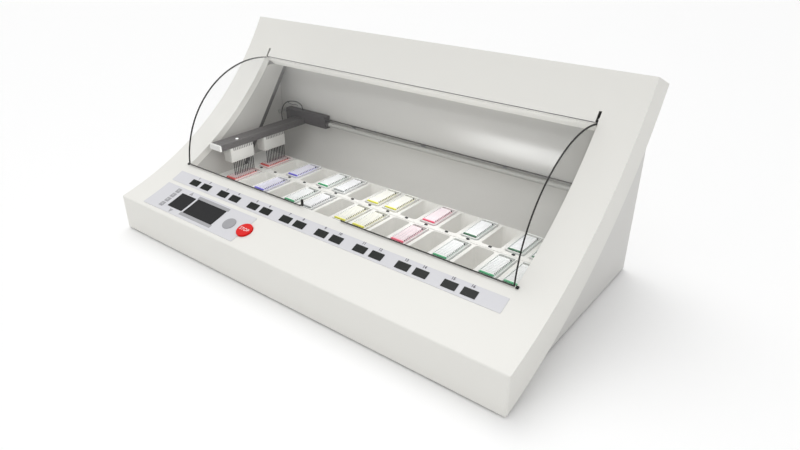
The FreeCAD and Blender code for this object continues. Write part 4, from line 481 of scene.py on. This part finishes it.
@dataclass
class Controls:
    """Film labels, displays, screens, keys and their marks on the fascia."""

    drum: Drum = Drum()
    film_rise: float = 0.1 * MM
    film: float = 0.8 * MM
    strip: tuple = (-0.4300, 0.4300, 21.75, 24.2)
    panel: tuple = (-0.4300, -0.1273, 15.3, 21.0)
    display_angle: float = 22.8
    display_size: tuple = (0.0284, 0.0161)
    display_pitch: float = 0.0388
    pair_pitch: float = 0.0980
    pairs: int = 8
    shift: float = 0.0033
    screen_angle: float = 18.25
    small_screen: tuple = (-0.3360, 0.0490, 0.0435)
    main_screen: tuple = (-0.2570, 0.0960, 0.0455)
    bar_height: float = 0.0084
    bar_overhang: float = 0.0040
    number_lift: float = 1.12
    number_shift: float = -1.0 * MM
    number_height: float = 5.6 * MM
    number_bold: float = 0.28 * MM
    arrows: tuple = (("\u25b2", -0.3360, 20.48), ("\u25bc", -0.3385, 15.78))
    arrow_height: float = 9 * MM
    key_x: float = -0.3783
    key_angles: tuple = (20.07, 18.87, 17.67, 16.47)
    key_signs: str = "\u2191\u2193\u2190\u2192"
    key_square: tuple = (0.0136, 0.0132)
    stop_place: tuple = (-0.1254, 18.1)

    def on_film(self) -> float:
        """Height of the film's top over the fascia."""
        return self.film_rise + self.film

    def window(self, x: float, angle: float, width: float, height: float, rise: float, thick: float,
               corner: float, steps: int = 10) -> Shape:
        """Plate on the film, by its centre and size.

        Args:
            x: its middle across the station.
            angle: its middle drum angle.
            width: size across.
            height: size up the face.
            rise: height of its foot over the face.
            thick: its thickness.
            corner: radius of its corners.
            steps: strips from its lower to its upper edge.

        Returns:
            Points and faces.
        """
        half = math.degrees(height / 2 / self.drum.radius)
        return self.drum.tile(x - width / 2, x + width / 2, angle - half, angle + half, rise, thick, corner, steps)

    def displays(self) -> None:
        """Both films, sixteen dark windows and the station's number over each."""
        for name, outline, node in (("strip_film", self.strip, "display_strip"),
                                    ("panel_film", self.panel, "control_panel")):
            film = self.drum.tile(*outline, self.film_rise, self.film, 1.0 * MM, 40)
            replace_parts(add_piece(name, [film], LABEL, "cabinet"), node)
        width, height = self.display_size
        windows, numbers = [], []
        for index in range(2 * self.pairs):
            pair, side = divmod(index, 2)
            x = self.pair_pitch * (pair - (self.pairs - 1) / 2) + self.shift + (side - 0.5) * self.display_pitch
            windows.append(self.window(x, self.display_angle, width, height, self.on_film() + 0.1 * MM, 0.5 * MM,
                                       0.6 * MM))
            numbers.append(self.mark(str(index + 1), x + self.number_shift, self.display_angle + self.number_lift,
                                     self.number_height, self.on_film(), self.number_bold))
        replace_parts(add_piece("display_windows", windows, DISPLAY, "cabinet"), "status_displays")
        add_piece("station_numbers", numbers, INK_AND_SHADOW, "cabinet", smooth=False)

    def mark(self, words: str, x: float, angle: float, height: float, rise: float, bold: float = 0.0) -> Shape:
        """Flat words lying on the face.

        Args:
            words: what it says.
            x: its middle across the station.
            angle: its middle drum angle.
            height: height of its letters.
            rise: height over the face.
            bold: how far its strokes are widened.

        Returns:
            Points and faces.
        """
        flat, faces = flat_text(words, height, bold)
        turn = angle + np.degrees(flat[:, 1] / self.drum.radius)
        return self.drum.point(self.drum.radius - rise - 0.12 * MM, turn, x + flat[:, 0]), faces

    def screens(self) -> None:
        """Two dark screens with grey bars over and under the larger one."""
        rise = self.on_film() + 0.1 * MM
        plates = [self.window(x, self.screen_angle, width, height, rise, 0.5 * MM, 0.4 * MM)
                  for x, width, height in (self.small_screen, self.main_screen)]
        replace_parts(add_piece("screen_windows", plates, SCREEN, "cabinet"), "panel_screens")
        x, width, height = self.main_screen
        offset = math.degrees((height + self.bar_height) / 2 / self.drum.radius)
        bars = [self.window(x, self.screen_angle + side * offset, width + 2 * self.bar_overhang, self.bar_height,
                            self.on_film() + 0.05 * MM, 0.2 * MM, 0.2 * MM) for side in (-1, 1)]
        add_piece("screen_bars", bars, BAR_GREY, "cabinet")

    def symbols(self) -> None:
        """Small plain arrows over and under the small screen."""
        marks = [self.mark(sign, x, angle, self.arrow_height, self.on_film()) for sign, x, angle in self.arrows]
        add_piece("panel_symbols", marks, BAR_GREY, "cabinet", smooth=False)

    def key_marks(self) -> None:
        """A printed square round every menu key, a light mark on it, and the word on the stop key."""
        width, height = self.key_square
        squares = [self.window(self.key_x, angle, width, height, self.on_film() + 0.05 * MM, 0.15 * MM, 1.5 * MM, 12)
                   for angle in self.key_angles[::-1]]
        add_piece("key_squares", squares, BAR_GREY, "cabinet")
        for index, (sign, angle) in enumerate(zip(self.key_signs, self.key_angles), 1):
            sign_shape = self.tilted(sign, self.key_x, angle, 5 * MM, 1.6 * MM)
            add_piece(f"key_mark_{index}", [sign_shape], MARK_WHITE, f"menu_key_{index}", smooth=False)
        word = self.tilted("STOP", *self.stop_place, 7.5 * MM, 4.0 * MM)
        add_piece("stop_word", [word], MARK_WHITE, "stop_key", smooth=False)

    def tilted(self, words: str, x: float, angle: float, height: float, rise: float) -> Shape:
        """Flat words on the straight top of a key.

        Args:
            words: what it says.
            x: its middle across the station.
            angle: drum angle of the key.
            height: height of its letters.
            rise: height of the key's top over the face.

        Returns:
            Points and faces.
        """
        flat, faces = flat_text(words, height)
        base = self.drum.point(self.drum.radius - rise - 0.06 * MM, angle, x)
        return base + flat[:, :1] * np.array([1.0, 0, 0]) + flat[:, 1:2] * self.drum.up(angle), faces

    def build(self) -> None:
        """Make every control."""
        self.displays()
        self.screens()
        self.symbols()
        self.key_marks()
        log.info("controls made")


def plain_box(low: tuple, high: tuple) -> Shape:
    """Box with sharp edges.

    The eight corners are every mix of the low and the high corner's numbers.

    Args:
        low: lowest corner.
        high: highest corner.

    Returns:
        Points and faces.
    """
    pick = np.array([(i, j, k) for k in (0, 1) for j in (0, 1) for i in (0, 1)])
    points = np.where(pick == 1, np.array(high, float), np.array(low, float))
    return points, [(0, 2, 3, 1), (4, 5, 7, 6), (0, 1, 5, 4), (2, 6, 7, 3), (0, 4, 6, 2), (1, 3, 7, 5)]


def post(centre: tuple, radius: float, length: float, way: tuple, sides: int = 24, soft: float = 0.0) -> Shape:
    """Round post: rings carried along a line, the last ones drawn in for a soft end.

    Args:
        centre: middle of its foot.
        radius: its radius.
        length: its length.
        way: direction of its axis.
        sides: points in a ring.
        soft: radius of its upper edge.

    Returns:
        Points and faces.
    """
    way = np.array(way, float) / np.linalg.norm(way)
    helper = np.array([0.0, 0.0, 1.0]) if abs(way[2]) < 0.9 else np.array([1.0, 0.0, 0.0])
    u = np.cross(helper, way)
    u /= np.linalg.norm(u)
    v = np.cross(way, u)
    turn = np.linspace(0, 2 * np.pi, sides, endpoint=False)
    bend = np.linspace(0, np.pi / 2, 4) if soft else np.zeros(1)
    heights = np.concatenate([[0.0], length - soft + soft * np.sin(bend)])
    radii = np.concatenate([[radius], radius - soft + soft * np.cos(bend)])
    ring = np.cos(turn)[:, None] * u + np.sin(turn)[:, None] * v
    points = np.array(centre) + heights[:, None, None] * way + radii[:, None, None] * ring[None]
    rows = len(heights)
    faces = [list(f) for f in grid_faces(rows, sides, wrap_columns=True)]
    faces += [list(range(sides))[::-1], list(range((rows - 1) * sides, rows * sides))]
    return points.reshape(-1, 3), faces


def bar_along_x(y: np.ndarray, z: np.ndarray, x0: float, x1: float) -> Shape:
    """Closed section carried along X.

    Args:
        y: the section's places from front to back, clockwise as seen from its right end.
        z: their heights.
        x0: left end.
        x1: right end.

    Returns:
        Points and faces.
    """
    x = np.array([x0, x1])[:, None]
    points = np.stack(np.broadcast_arrays(x, y[None, :], z[None, :]), -1).reshape(-1, 3)
    faces = [list(f)[::-1] for f in grid_faces(2, len(y), wrap_columns=True)]
    faces += [list(range(len(y))), list(range(len(y), 2 * len(y)))[::-1]]
    return points, faces


@dataclass
class RackSet:
    """Slide racks of every colour, standing in their tanks."""

    pitch: float = 0.0510
    columns: int = 16
    front_row: float = 0.2536
    rear_row: float = 0.3605
    width: float = 0.0290
    length: float = 0.0670
    wall: float = 0.0014
    forward: float = 0.0035
    low: float = 0.0096
    height: float = 0.0750
    rise: float = 0.0140
    window: float = 0.0460
    slide_pitch: float = 0.0052
    slides: int = 12
    lip_depth: float = 0.0028
    lip_height: float = 0.0026
    tank_width: float = 0.0385
    tank_length: float = 0.0870
    tank_top: float = 0.0832

    def places(self) -> dict[str, list]:
        """Column and row depth of every rack, by colour."""
        front = {"red": (1,), "violet": (3,), "green": (5, 13, 15, 16), "grey": (6,), "yellow": (8, 9), "pink": (11,)}
        rear = {"red": (1,), "violet": (3,), "green": (5,), "grey": (6,), "yellow": (8, 9), "pink": (11,),
                "dark_green": (13, 15, 16)}
        found: dict[str, list] = {}
        for racks, depth in ((front, self.front_row), (rear, self.rear_row)):
            for colour, columns in racks.items():
                found.setdefault(colour, []).extend((column, depth) for column in columns)
        return found

    def centre(self, column: int, depth: float) -> tuple[float, float]:
        """Middle of a rack, across and from front to back."""
        x = self.pitch * (column - 1 - (self.columns - 1) / 2)
        return x, depth - self.forward - DEPTH / 2

    def spots(self) -> list:
        """Middle of every rack."""
        return [self.centre(column, depth) for racks in self.places().values() for column, depth in racks]

    def frame_shapes(self, x: float, y: float) -> list:
        """Walls, rails and ledges of one rack."""
        half, run, wall = self.width / 2, self.length / 2, self.wall
        top = self.low + self.height
        gap = self.window / 2
        shapes = [soft_box((x - half, y + s * run - (wall if s > 0 else 0), self.low),
                           (x + half, y + s * run + (wall if s < 0 else 0), top), 0.4 * MM, 1) for s in (-1, 1)]
        for side in (-1, 1):
            x0, x1 = sorted((x + side * half, x + side * (half - wall)))
            for z0, z1 in ((self.low, self.low + self.rise), (top - self.rise, top - 0.4 * MM)):
                shapes.append(plain_box((x0, y - run + wall, z0), (x1, y + run - wall, z1)))
            for y0, y1 in ((y - run + wall, y - gap), (y + gap, y + run - wall)):
                shapes.append(plain_box((x0, y0, self.low + self.rise), (x1, y1, top - self.rise)))
            ledge = sorted((x + side * (half - wall), x + side * (half - 4 * MM)))
            shapes.append(plain_box((ledge[0], y - run + wall, self.low),
                                    (ledge[1], y + run - wall, self.low + 1.2 * MM)))
        return shapes

    def comb_shapes(self, x: float, y: float) -> list:
        """Cross bars between the slides, which show as pale stripes from above."""
        top = self.low + self.height
        half, bar = self.width / 2 - 0.3 * MM, self.slide_pitch / 2 - 0.75 * MM
        rows = y + self.slide_pitch * (np.arange(self.slides + 1) - self.slides / 2)
        return [soft_box((x - half, at - bar, top - 1.6 * MM), (x + half, at + bar, top + 1.0 * MM), 0.4 * MM, 1)
                for at in rows]

    def tooth_shapes(self, x: float, y: float) -> list:
        """Small dark teeth along both long sides, and the peg at the right rear."""
        top = self.low + self.height
        half = self.width / 2
        peg = (x + half - 1.5 * MM, y + self.length / 2 - 2.6 * MM, top - 1.0 * MM)
        shapes = [post(peg, 1.9 * MM, 2.6 * MM, (0, 0, 1), 14, 0.4 * MM)]
        for offset in self.slide_pitch * (np.arange(self.slides) - (self.slides - 1) / 2):
            for side in (-1, 1):
                x0, x1 = sorted((x + side * (half - 1.4 * MM), x + side * (half + 0.2 * MM)))
                shapes.append(plain_box((x0, y + offset - 0.7 * MM, top - 1.4 * MM),
                                        (x1, y + offset + 0.7 * MM, top + 1.1 * MM)))
        return shapes

    def slide_shapes(self, x: float, y: float, low: float, top: float, grow: float) -> list:
        """One part of the height of every slide in a rack."""
        half, thick = 13.0 * MM + grow, 0.5 * MM + grow
        rows = self.slide_pitch * (np.arange(self.slides) - (self.slides - 1) / 2)
        return [plain_box((x - half, y + at - thick, low), (x + half, y + at + thick, top)) for at in rows]

    def glass(self) -> None:
        """Slides of clear glass with a frosted upper end."""
        clear, frosted = [], []
        foot, change, top = 10.8 * MM, 66.8 * MM, 86.8 * MM
        for x, y in self.spots():
            clear += self.slide_shapes(x, y, foot, change, 0.0)
            frosted += self.slide_shapes(x, y, change, top - 0.05 * MM, -0.03 * MM)
        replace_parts(add_piece("clear_slides", clear, SLIDE_GLASS, "cabinet"), "glass_slides")
        add_piece("frosted_ends", frosted, FROSTED, "cabinet")

    def lip_shapes(self, x: float, y: float) -> list:
        """Coloured lip along the front."""
        half, run, top = self.width / 2, self.length / 2, self.low + self.height
        return [soft_box((x - half, y - run - self.lip_depth, top - self.lip_height),
                         (x + half, y - run + 0.9 * MM, top + 0.6 * MM), 0.6 * MM, 2)]

    def rim_shape(self, x: float, y: float) -> Shape:
        """Rounded frame along the top of a tank.

        Corner centres plus radius (cos a, sin a) give the outline, for both walls and both heights.

        Args:
            x: the tank's middle across.
            y: its middle from front to back.

        Returns:
            Points and faces.
        """
        corner, wall = 4.75 * MM, 1.6 * MM
        turn = np.concatenate([np.linspace(k, k + 1, 7) for k in range(4)]) * np.pi / 2
        quarter = np.repeat(np.arange(4), 7)
        cx = x + np.where((quarter == 0) | (quarter == 3), 1, -1) * (self.tank_width / 2 - corner)
        cy = y + np.where(quarter < 2, 1, -1) * (self.tank_length / 2 - corner)
        radii = corner - np.array([0.0, 0.3 * MM, wall - 0.3 * MM, wall, wall])[:, None]
        heights = self.tank_top + np.array([-1.6 * MM, 0.0, 0.0, -0.3 * MM, -1.6 * MM])[:, None]
        rings = np.stack(np.broadcast_arrays(cx + radii * np.cos(turn), cy + radii * np.sin(turn), heights), -1)
        return rings.reshape(-1, 3), grid_faces(len(radii), len(turn), wrap_rows=True, wrap_columns=True)

    def rims(self) -> None:
        """Pale rims of the tanks."""
        shapes = [self.rim_shape(x, y + self.forward) for x, y in self.spots()]
        add_piece("tank_rims", shapes, RIM_CLEAR, "cabinet")

    def build(self) -> None:
        """Make the racks of each colour in their own finishes."""
        for colour, racks in self.places().items():
            lip_code, comb_code, frame_code = RACK_CODES[colour]
            frames, combs, teeth, lips = [], [], [], []
            for column, depth in racks:
                x, y = self.centre(column, depth)
                frames += self.frame_shapes(x, y)
                combs += self.comb_shapes(x, y)
                teeth += self.tooth_shapes(x, y)
                lips += self.lip_shapes(x, y)
            pale = Finish(f"comb_{colour}", comb_code, 0.4, colour_share=0.01)
            strong = Finish(f"lip_{colour}", lip_code, 0.35, coat=0.2, colour_share=0.03)
            # The frames give off a little of their own colour: painted fill light on sides that are shaded in the
            # narrow gap inside each tank.
            body = Finish(f"frame_{colour}", frame_code, 0.45, colour_share=0.02, lamp_glow_and_painted_fill=0.22)
            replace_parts(add_piece(f"rack_frames_{colour}", frames, body, "cabinet"), f"racks_{colour}")
            for name, shapes, finish in (("combs", combs, pale), ("teeth", teeth, TOOTH_GREY), ("lips", lips, strong)):
                add_piece(f"rack_{name}_{colour}", shapes, finish, "cabinet")
        self.glass()
        self.rims()
        log.info("racks made")


@dataclass
class Gantry:
    """Dressing of the beam, the heads and the looped cable."""

    head_x: float = -0.3825
    head_width: float = 0.0267
    head_length: float = 0.0680
    head_low: float = 0.1250
    head_top: float = 0.1604
    head_depths: tuple = (0.2488, 0.3506)
    needle_pitch: float = 0.00525
    needle_shift: tuple = (0.0080, 0.0040)
    needle_radius: float = 0.0011
    needle_low: float = 0.0895
    cover_mm: tuple = ((-437.0, 457.0, 160.4), (-295.5, 476.0, 192.0))
    rail: tuple = (0.2010, 0.1730)
    rail_radius: float = 0.0050
    rail_gap: float = 0.0054
    collar_radius: float = 0.0066
    pulley_top: float = 0.1834
    needles: int = 12
    cable_radius: float = 0.00125
    route_mm: tuple = ((-408.2, 421.0, 168.0), (-421.0, 429.0, 166.5), (-435.0, 439.0, 168.5), (-445.5, 448.0, 179.0),
                       (-443.0, 452.0, 196.0), (-430.0, 453.0, 208.5), (-412.0, 454.0, 214.5), (-393.0, 456.0, 215.5),
                       (-382.0, 460.0, 209.0), (-381.0, 464.0, 199.0), (-381.0, 465.0, 190.0))
    strand_mm: tuple = ((-428.0, 453.0, 209.5), (-418.0, 454.0, 207.0), (-408.0, 455.0, 205.0),
                        (-400.0, 457.0, 207.0), (-393.0, 459.0, 204.5))

    def needle_depths(self, depth: float) -> np.ndarray:
        """Places of one head's needles from front to back."""
        middle = depth + self.needle_shift[1] - DEPTH / 2
        return middle + self.needle_pitch * (np.arange(self.needles) - (self.needles - 1) / 2)

    def heads(self) -> None:
        """Two pale blocks with dark tube sockets along their upper edge, and rows of needles in collars."""
        blocks, sockets, collars, needles = [], [], [], []
        half, run = self.head_width / 2, self.head_length / 2
        for depth in self.head_depths:
            y = depth - DEPTH / 2
            blocks.append(soft_box((self.head_x - half, y - run, self.head_low),
                                   (self.head_x + half, y + run, self.head_top), 0.7 * MM, 2))
            for at in self.needle_depths(depth):
                for side in (-1, 1):
                    x0, x1 = sorted((self.head_x + side * (half - 0.8 * MM), self.head_x + side * (half + 0.6 * MM)))
                    sockets.append(plain_box((x0, at - 0.8 * MM, self.head_top - 7.5 * MM),
                                             (x1, at + 0.8 * MM, self.head_top)))
                foot = (self.head_x + self.needle_shift[0], at, self.head_low + 0.5 * MM)
                collars.append(post(foot, 1.7 * MM, 1.8 * MM, (0, 0, -1), 14, 0.4 * MM))
                needles.append(post(foot, self.needle_radius, foot[2] - self.needle_low, (0, 0, -1), 12, 0.8 * MM))
        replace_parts(add_piece("head_blocks", blocks, HEAD_WHITE, "gantry"), "dispense_heads")
        add_piece("head_sockets", sockets, DARK_PLASTIC, "gantry")
        add_piece("needle_collars", collars, DARK_PLASTIC, "gantry")
        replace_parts(add_piece("needle_rows", needles, NEEDLE_STEEL, "gantry"), "needles")

    def carriage(self) -> None:
        """Low dark cover of the carriage, open behind, with end walls round the rail and a half collar on the rail.

        The cover's section is a C with rounded front corners. The end walls leave the belt and its pulleys free, which
        pass through the cover as it travels.
        """
        low, high = (np.array(c) * MM - (0, DEPTH / 2, 0) for c in self.cover_mm)
        wall, corner, lap = 2.0 * MM, 2.5 * MM, 0.2 * MM
        turn = np.linspace(0, np.pi / 2, 5)
        y = np.concatenate([[high[1]], low[1] + corner * (1 - np.sin(turn)), low[1] + corner * (1 - np.cos(turn)),
                            [high[1], high[1], low[1] + wall, low[1] + wall, high[1]]])
        z = np.concatenate([[low[2]], low[2] + corner * (1 - np.cos(turn)), high[2] - corner * (1 - np.sin(turn)),
                            [high[2], high[2] - wall, high[2] - wall, low[2] + wall, low[2] + wall]])
        shapes = [bar_along_x(y, z, low[0], high[0])]
        front, rail_back = low[1] + wall - lap, self.rail[0] + self.rail_radius
        for x0, x1 in ((low[0] + 0.5 * MM, low[0] + 3 * MM), (high[0] - 3 * MM, high[0] - 0.5 * MM)):
            for y0, y1, z0, z1 in ((front, rail_back, low[2] + wall - lap, self.rail[1] - self.rail_gap),
                                   (front, rail_back, self.rail[1] + self.rail_gap, high[2] - wall + lap),
                                   (rail_back - lap, high[1] - lap, self.pulley_top, high[2] - wall + lap)):
                shapes.append(plain_box((x0, y0, z0), (x1, y1, z1)))
        swing = np.linspace(-110, 110, 25) * np.pi / 180
        ring = np.repeat([self.collar_radius, self.rail_gap], len(swing))
        swing = np.concatenate([swing, swing[::-1]])
        shapes.append(bar_along_x(self.rail[0] - ring * np.cos(swing), self.rail[1] + ring * np.sin(swing),
                                  high[0] - 1 * MM, high[0] + 9 * MM))
        cover = add_piece("carriage_cover", shapes, CARRIAGE_GREY, "gantry")
        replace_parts(cover, "carriage_housing")

    def cable(self) -> None:
        """Smooth round cable along a spline, with one thinner strand inside its loop."""
        curve = bpy.data.curves.new("looped_cable", "CURVE")
        curve.dimensions = "3D"
        for route, share in ((self.route_mm, 1.0), (self.strand_mm, 0.55)):
            spline = curve.splines.new("NURBS")
            spline.points.add(len(route) - 1)
            for point, place in zip(spline.points, route):
                point.co = (place[0] * MM, place[1] * MM - DEPTH / 2, place[2] * MM, 1.0)
                point.radius = share
            spline.order_u = 3
            spline.use_endpoint_u = True
            spline.resolution_u = 10
        curve.bevel_depth = self.cable_radius
        curve.bevel_resolution = 4
        curve.use_fill_caps = True
        curve.materials.append(BLACK_RUBBER.build())
        item = bpy.data.objects.new("looped_cable", curve)
        bpy.context.scene.collection.objects.link(item)
        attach(item, "gantry")
        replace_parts(item, "gantry_cable")

    def build(self) -> None:
        """Make the gantry's pieces."""
        self.heads()
        self.carriage()
        self.cable()
        log.info("gantry dressed")


@dataclass
class HoodEdges:
    """Thin black edging of the hood, its tab, and a dark line along the upper edge of the opening: painted shadow of
    the gap there.
    """

    drum: Drum = Drum()
    axis_y: float = 0.0920
    axis_z: float = 0.1210
    radius: float = 0.2190
    low_height: float = 0.1333
    top_angle: float = 100.4
    outer_x: float = 0.4265
    edge_width: float = 0.0017
    edge_depth: float = 0.0026
    tab: tuple = (-0.0567, 0.0045, 0.0139)
    notch: tuple = (-0.0586, 0.0494)
    shadow_line_angle: float = 51.72
    shadow_line_turn: float = 0.085
    shadow_line_half: float = 0.4215

    def arc(self, x0: float, x1: float, steps: int = 72) -> Shape:
        """Curved bar on the hood's edge: y = axis - r cos(a), z = axis + r sin(a), for two radii and two sides.

        Args:
            x0: its left face.
            x1: its right face.
            steps: parts along the curve.

        Returns:
            Points and faces.
        """
        first = math.asin((self.low_height - self.axis_z) / self.radius)
        turn = np.linspace(first, math.radians(self.top_angle), steps + 1)[:, None]
        r = self.radius + np.array([-self.edge_depth, 0.4 * MM, 0.4 * MM, -self.edge_depth])[None, :]
        x = np.array([x0, x0, x1, x1])[None, :] + 0 * turn
        points = np.stack([x, self.axis_y - r * np.cos(turn), self.axis_z + r * np.sin(turn)], -1)
        faces = [list(f) for f in grid_faces(steps + 1, 4, wrap_columns=True)]
        faces += [[3, 2, 1, 0], [4 * steps + k for k in range(4)]]
        return points.reshape(-1, 3), faces

    def edging(self) -> None:
        """Both curved edges, the lower edge on each side of the notch, and the tab."""
        front, low = self.axis_y - self.radius, self.low_height
        shapes = [self.arc(-self.outer_x, -self.outer_x + self.edge_width),
                  self.arc(self.outer_x - self.edge_width, self.outer_x)]
        for x0, x1 in ((-self.outer_x, self.notch[0]), (self.notch[1], self.outer_x)):
            shapes.append(plain_box((x0, front + 0.1 * MM, low - 1.1 * MM), (x1, front + self.edge_depth, low)))
        x, width, height = self.tab
        shapes.append(soft_box((x, front + 0.2 * MM, low), (x + width, front + 3.8 * MM, low + height), 0.5 * MM, 2))
        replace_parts(add_piece("hood_edging", shapes, EDGE_BLACK, "hood"), "hood_trims")

    def shadow_line(self) -> None:
        """Fine dark line on the fascia along the upper edge of the opening: painted shadow of the gap at that edge."""
        lip = self.drum.tile(-self.shadow_line_half, self.shadow_line_half, self.shadow_line_angle, self.shadow_line_angle + self.shadow_line_turn,
                             0.3 * MM, 0.3 * MM, 0.0, 4)
        add_piece("opening_shadow_line", [lip], INK_AND_SHADOW, "cabinet")

    def build(self) -> None:
        """Make the edging and the painted shadow line."""
        self.edging()
        self.shadow_line()
        log.info("hood edges made")


@dataclass
class Studio:
    """Camera at the photograph's angle, a white floor and soft lamps."""

    place: tuple = (0.8031, -0.9102, 0.6770)
    right: tuple = (0.7892, 0.6141, 0.0030)
    up: tuple = (-0.2818, 0.3578, 0.8902)
    ahead: tuple = (-0.54568, 0.70342, -0.45545)
    lens: float = 28.38
    surround: float = 0.64

    def camera(self) -> None:
        """Place the camera by its own three directions."""
        data = bpy.data.cameras.new("photo_camera")
        data.lens = self.lens
        data.sensor_width = 36.0
        data.clip_start = 0.01
        camera = bpy.data.objects.new("photo_camera", data)
        turn = np.eye(4)
        turn[:3, 0], turn[:3, 1], turn[:3, 2], turn[:3, 3] = self.right, self.up, -np.array(self.ahead), self.place
        camera.matrix_world = Matrix(turn.tolist())
        bpy.context.scene.collection.objects.link(camera)
        bpy.context.scene.camera = camera

    def floor(self) -> None:
        """Lay a wide floor that shows as white and keeps the object's shadow."""
        mesh = bpy.data.meshes.new("floor")
        reach = 6.0
        mesh.from_pydata([(-reach, -reach, 0), (reach, -reach, 0), (reach, reach, 0), (-reach, reach, 0)], [],
                         [(0, 1, 2, 3)])
        floor = bpy.data.objects.new("floor", mesh)
        bpy.context.scene.collection.objects.link(floor)
        material, _, shader = blank_material("floor_white")
        feed(shader, {"Base Color": (0.97, 0.97, 0.97, 1.0), "Roughness": 0.6})
        floor.data.materials.append(material)

    def sun(self, name: str, toward: tuple, strength: float, spread: float) -> None:
        """Light the whole set evenly from one direction.

        Args:
            name: the lamp's name.
            toward: direction from the object to the lamp.
            strength: watts per square metre.
            spread: apparent width of the lamp in degrees, which softens its shadows.
        """
        data = bpy.data.lights.new(name, "SUN")
        data.energy = strength
        data.angle = math.radians(spread)
        self.hang(name, data, np.array(toward), (0.0, 0.0, 0.0))

    def hang(self, name: str, data: bpy.types.Light, back: np.ndarray, place: tuple) -> bpy.types.Object:
        """Put a lamp in its place, turned to its target.

        Args:
            name: the lamp's name.
            data: the lamp.
            back: direction from the target to the lamp.
            place: its middle.

        Returns:
            The lamp's object.
        """
        lamp = bpy.data.objects.new(name, data)
        back = back / np.linalg.norm(back)
        across = np.cross((0.0, 1.0, 0.01), back)
        across = across / np.linalg.norm(across)
        turn = np.eye(4)
        turn[:3, 0], turn[:3, 1], turn[:3, 2], turn[:3, 3] = across, np.cross(back, across), back, place
        lamp.matrix_world = Matrix(turn.tolist())
        bpy.context.scene.collection.objects.link(lamp)
        return lamp

    def panel(self, name: str, place: tuple, target: tuple, size: tuple, power: float, mirrored: bool) -> None:
        """Light panel that shows only as a reflection, or lights only what is matt.

        Args:
            name: the lamp's name.
            place: its middle.
            target: what it points at.
            size: its two sides.
            power: watts.
            mirrored: whether it is seen in glossy surfaces, and lights nothing else.
        """
        data = bpy.data.lights.new(name, "AREA")
        data.shape = "RECTANGLE"
        data.size, data.size_y = size
        data.energy = power
        lamp = self.hang(name, data, np.array(place) - np.array(target), place)
        lamp.visible_camera = False
        lamp.visible_diffuse = not mirrored
        lamp.visible_glossy = mirrored
        lamp.visible_transmission = False

    def light(self) -> None:
        """Soft light from above and a white surround, which lights less than it shows."""
        self.sun("key_sun", (-0.36, 0.25, 0.9), 1.05, 50.0)
        self.sun("high_sun", (0.05, -0.38, 0.92), 0.18, 35.0)
        self.sun("front_sun", (0.0, -0.8, 0.6), 0.18, 70.0)
        self.panel("strip_lamp", (-0.75, 0.45, 2.9), (0.0, 0.0, 0.1), (0.8, 0.9), 36.0, True)
        self.panel("inner_fill", (0.07, 0.03, 0.19), (0.07, 0.13, 0.0), (0.60, 0.08), 0.26, False)
        self.panel("flange_fill", (-0.28, -0.04, 0.22), (-0.43, -0.04, 0.22), (0.22, 0.10), 0.11, False)
        self.panel("lower_fill", (0.0, 0.110, 0.295), (0.0, 0.141, 0.330), (0.82, 0.012), 0.06, False)
        world = bpy.data.worlds.new("surround")
        bpy.context.scene.world = world
        world.use_nodes = True
        nodes = world.node_tree.nodes
        path = nodes.new("ShaderNodeLightPath").outputs
        seen = nodes.new("ShaderNodeMath")
        seen.operation = "ADD"
        seen.use_clamp = True
        feed(seen, {0: path["Is Camera Ray"], 1: path["Is Transmission Ray"]})
        level = feed(nodes.new("ShaderNodeMapRange"), {"Value": seen.outputs["Value"], "To Min": self.surround,
                                                       "To Max": 1.0})
        feed(nodes["Background"], {"Color": (1.0, 1.0, 1.0, 1.0), "Strength": level.outputs["Result"]})

    def build(self) -> None:
        """Set up the camera, the floor, the lamps and the view."""
        self.camera()
        self.floor()
        self.light()
        bpy.context.scene.view_settings.view_transform = "Standard"


def dress_nodes() -> None:
    """Give every CAD node its finish."""
    finishes = {name: finish for finish, names in FINISH_NODES.items() for name in names.split()}
    for colour, (code, _, _) in RACK_CODES.items():
        finishes[f"racks_{colour}"] = Finish(f"rack_{colour}", code, 0.45, colour_share=0.02)
    for name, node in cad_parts.items():
        material = finishes[name].build()
        slots = node.material_slots
        if not slots:
            node.data.materials.append(material)
        for slot in slots:
            slot.material = material
    log.info("%d nodes dressed", len(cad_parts))


def main() -> None:
    """Build and dress the station."""
    logging.basicConfig(level=logging.INFO)
    Studio().build()
    dress_nodes()
    Controls().build()
    RackSet().build()
    Gantry().build()
    HoodEdges().build()


if __name__ == "__main__":
    main()
